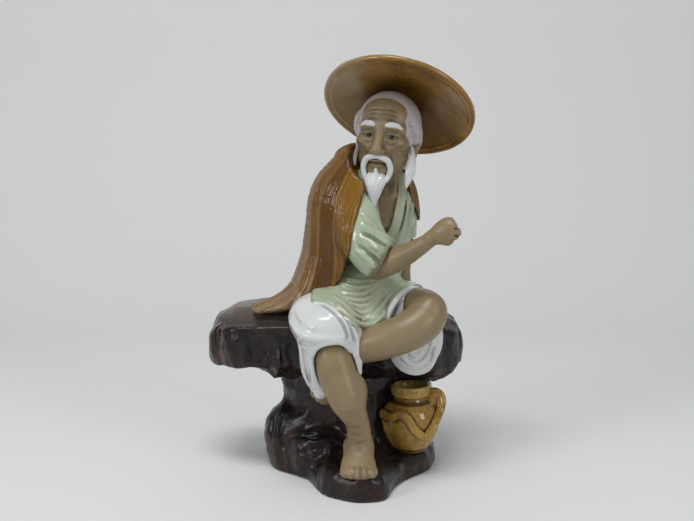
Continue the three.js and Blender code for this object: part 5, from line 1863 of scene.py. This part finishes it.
def shaded_hair_white():
    """Matt, lavender white of the hair, darker than the white glaze: painted shade from the hat."""
    return plain_glaze(
        "shaded_hair_white", relief=0.2, dull=0.4, gloss=0.3, deep=(0.2, 0.165, 0.16), body=(0.5, 0.455, 0.465),
        edge=(0.4, 0.34, 0.32), mottle=(0.41, 0.36, 0.36), scale=80.0, mottled=0.7, pooled=0.7, broken=0.95)


def bare_clay():
    """Fired brown clay with specks, and the dark of the eyes."""
    made = Finish("bare_clay")
    base = made.glaze(
        deep=(0.095, 0.067, 0.037), body=(0.25, 0.186, 0.1), edge=(0.31, 0.242, 0.145),
        mottle=(0.2, 0.146, 0.075), scale=45.0, mottled=0.6, pooled=0.6, broken=0.9)
    colour = mix(made.specks(1500.0, 0.22) * 0.35, base["Colour"], CLAY_SPECK)
    colour = mix(made.mark("iris"), colour, EYE_DARK)
    made.bump(cloud(made.place, 1400.0, 3.0), 0.12, 0.0006)
    return made.finish(colour, base["Roughness"] * 0.6 + 0.3, 0.4)


def rock_glaze():
    """Near-black of the rock: bluish sheen, brown runs, pale layers at the thin end and painted light on the
    seat's top.
    """
    made = Finish("rock_glaze")
    base = made.glaze(
        deep=(0.004, 0.0035, 0.004), body=(0.014, 0.01, 0.01), edge=(0.1, 0.066, 0.05),
        mottle=(0.04, 0.019, 0.013), scale=60.0, mottled=0.7, pooled=0.5, broken=0.75)
    sheen = ramp(cloud(made.place, 38.0, 5.0, 0.65), 0.5, 0.72)
    colour = mix(sheen * 0.6, base["Colour"], ROCK_SHEEN)
    runs = made.streaks(0.12, 150.0, 0.6)
    colour = mix(ramp(runs, 0.56, 0.7) * 0.45, colour, ROCK_RUN)
    place = made.axes()
    layers = ramp(place["X"], *ROCK_LAYER_X) * ramp(runs, 0.44, 0.6)
    colour = mix(layers * 0.8, colour, ROCK_LAYER)
    # Painted light: the rock turns lighter on the top of the ledge
    seat = ramp(place["Z"], *LIT_SEAT_TOP_Z)
    colour = mix(seat * 0.65, colour, LIT_SEAT_TOP)
    colour = mix(made.specks(700.0, 0.12) * 0.3, colour, ROCK_SPECK)
    made.bump(cloud(made.place, 260.0, 5.0, 0.6), 0.25, 0.0012)
    return made.finish(colour, base["Roughness"] * 1.2 + 0.12, 0.28)


# Floor, light and camera, in metres

WALL_BEHIND = 0.75
WALL_TALL = 1.9
WALL_BEND = 0.35
BEND_ROWS = 13
STAGE_RADIUS = 8.0
STAGE_SIDES = 120
FLOOR_COLOUR = paint(0.74, 0.745, 0.74)
SKY_COLOUR = paint(0.95, 0.97, 1.0)
SKY_STRENGTH = 0.36
LIT_PLACE = (0, 0, 0.13)
LAMPS = [
    ("ceiling", (-0.1, -0.35, 1.15), (0.5, 0.3), 6.2),
    ("window", (-0.95, -0.75, 0.6), (0.35, 0.45), 4.2),
    ("fill", (0.95, -0.8, 0.5), (0.35, 0.45), 3.2),
]
SENSOR_WIDTH = 36


def stage():
    """Pale round floor that bends up into a wall, close behind the figure and far off elsewhere."""
    made = Finish("pale_floor")
    made.finish(FLOOR_COLOUR, 0.7, 0.3)
    flat = STAGE_RADIUS - WALL_BEND
    rows = [(flat - WALL_BEND, 0.0)]
    for angle in np.linspace(0, math.pi / 2, BEND_ROWS):
        rows.append((flat + WALL_BEND * math.sin(angle), WALL_BEND * (1 - math.cos(angle))))
    rows.append((STAGE_RADIUS, WALL_TALL))
    middle = WALL_BEHIND - STAGE_RADIUS
    points = []
    for radius, z in rows:
        for side in range(STAGE_SIDES):
            angle = 2 * math.pi * (side + 0.5) / STAGE_SIDES
            points.append((radius * math.sin(angle), middle + radius * math.cos(angle), z))
    faces = [tuple(reversed(range(STAGE_SIDES)))]
    for row in range(len(rows) - 1):
        for side in range(STAGE_SIDES):
            near = row * STAGE_SIDES + side
            beside = row * STAGE_SIDES + (side + 1) % STAGE_SIDES
            faces.append((near, beside, beside + STAGE_SIDES, near + STAGE_SIDES))
    mesh = bpy.data.meshes.new("floor")
    mesh.from_pydata(points, [], faces)
    mesh.shade_smooth()
    mesh.materials.append(made.material)
    floor = bpy.data.objects.new("floor", mesh)
    bpy.context.collection.objects.link(floor)


def lamp(name, place, sides, power):
    """An oblong lamp that shines on the figure."""
    light = bpy.data.lights.new(name, "AREA")
    light.shape = "RECTANGLE"
    light.size, light.size_y = sides
    light.energy = power
    holder = bpy.data.objects.new(name, light)
    holder.location = place
    holder.rotation_euler = (Vector(LIT_PLACE) - Vector(place)).to_track_quat("-Z", "Y").to_euler()
    bpy.context.collection.objects.link(holder)


def studio():
    """A dim sky and the lamps."""
    world = bpy.data.worlds.new("studio")
    world.use_nodes = True
    bpy.context.scene.world = world
    sky = world.node_tree.nodes["Background"]
    sky.inputs["Color"].default_value = SKY_COLOUR
    sky.inputs["Strength"].default_value = SKY_STRENGTH
    for values in LAMPS:
        lamp(*values)


def camera():
    """The camera, at the picture's point of view."""
    lens = bpy.data.cameras.new("camera")
    lens.sensor_width = SENSOR_WIDTH
    lens.lens = FOCAL_PIXELS / PICTURE[0] * lens.sensor_width
    holder = bpy.data.objects.new("camera", lens)
    holder.location = (Vector(EYE) + Vector(SHIFT)) * MM
    holder.rotation_euler = (math.pi / 2 - EYE_PITCH, 0, 0)
    bpy.context.collection.objects.link(holder)
    bpy.context.scene.camera = holder


# Assembly

def put(piece, node, material):
    """Puts a finished piece in the place of its node."""
    piece.data.materials.clear()
    piece.data.materials.append(material)
    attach(piece, "root")
    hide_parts(node)


def build():
    """The whole scene."""
    glazes = {
        "rock_glaze": rock_glaze(), "amber_glaze": amber_glaze(), "jar_glaze": jar_glaze(),
        "celadon_glaze": celadon_glaze(), "white_glaze": white_glaze(), "bare_clay": bare_clay(),
    }
    # The hair gets a darker copy of the white glaze: painted shade from the hat
    own_finish = {"hair": shaded_hair_white()}
    for name, points, faces, marks, slot in cast_all():
        piece = mesh_object("clay_" + name, points, faces, marks)
        put(piece, name, own_finish.get(name, glazes[slot]))
    points, faces, marks = jar_mesh()
    put(mesh_object("clay_jar", points, faces, marks), "jar", glazes["jar_glaze"])
    straw_glaze = hat_glaze()
    put(hat_object(straw_glaze), "hat", straw_glaze)
    stage()
    studio()
    camera()
    bpy.context.scene.view_settings.view_transform = "Standard"


build()
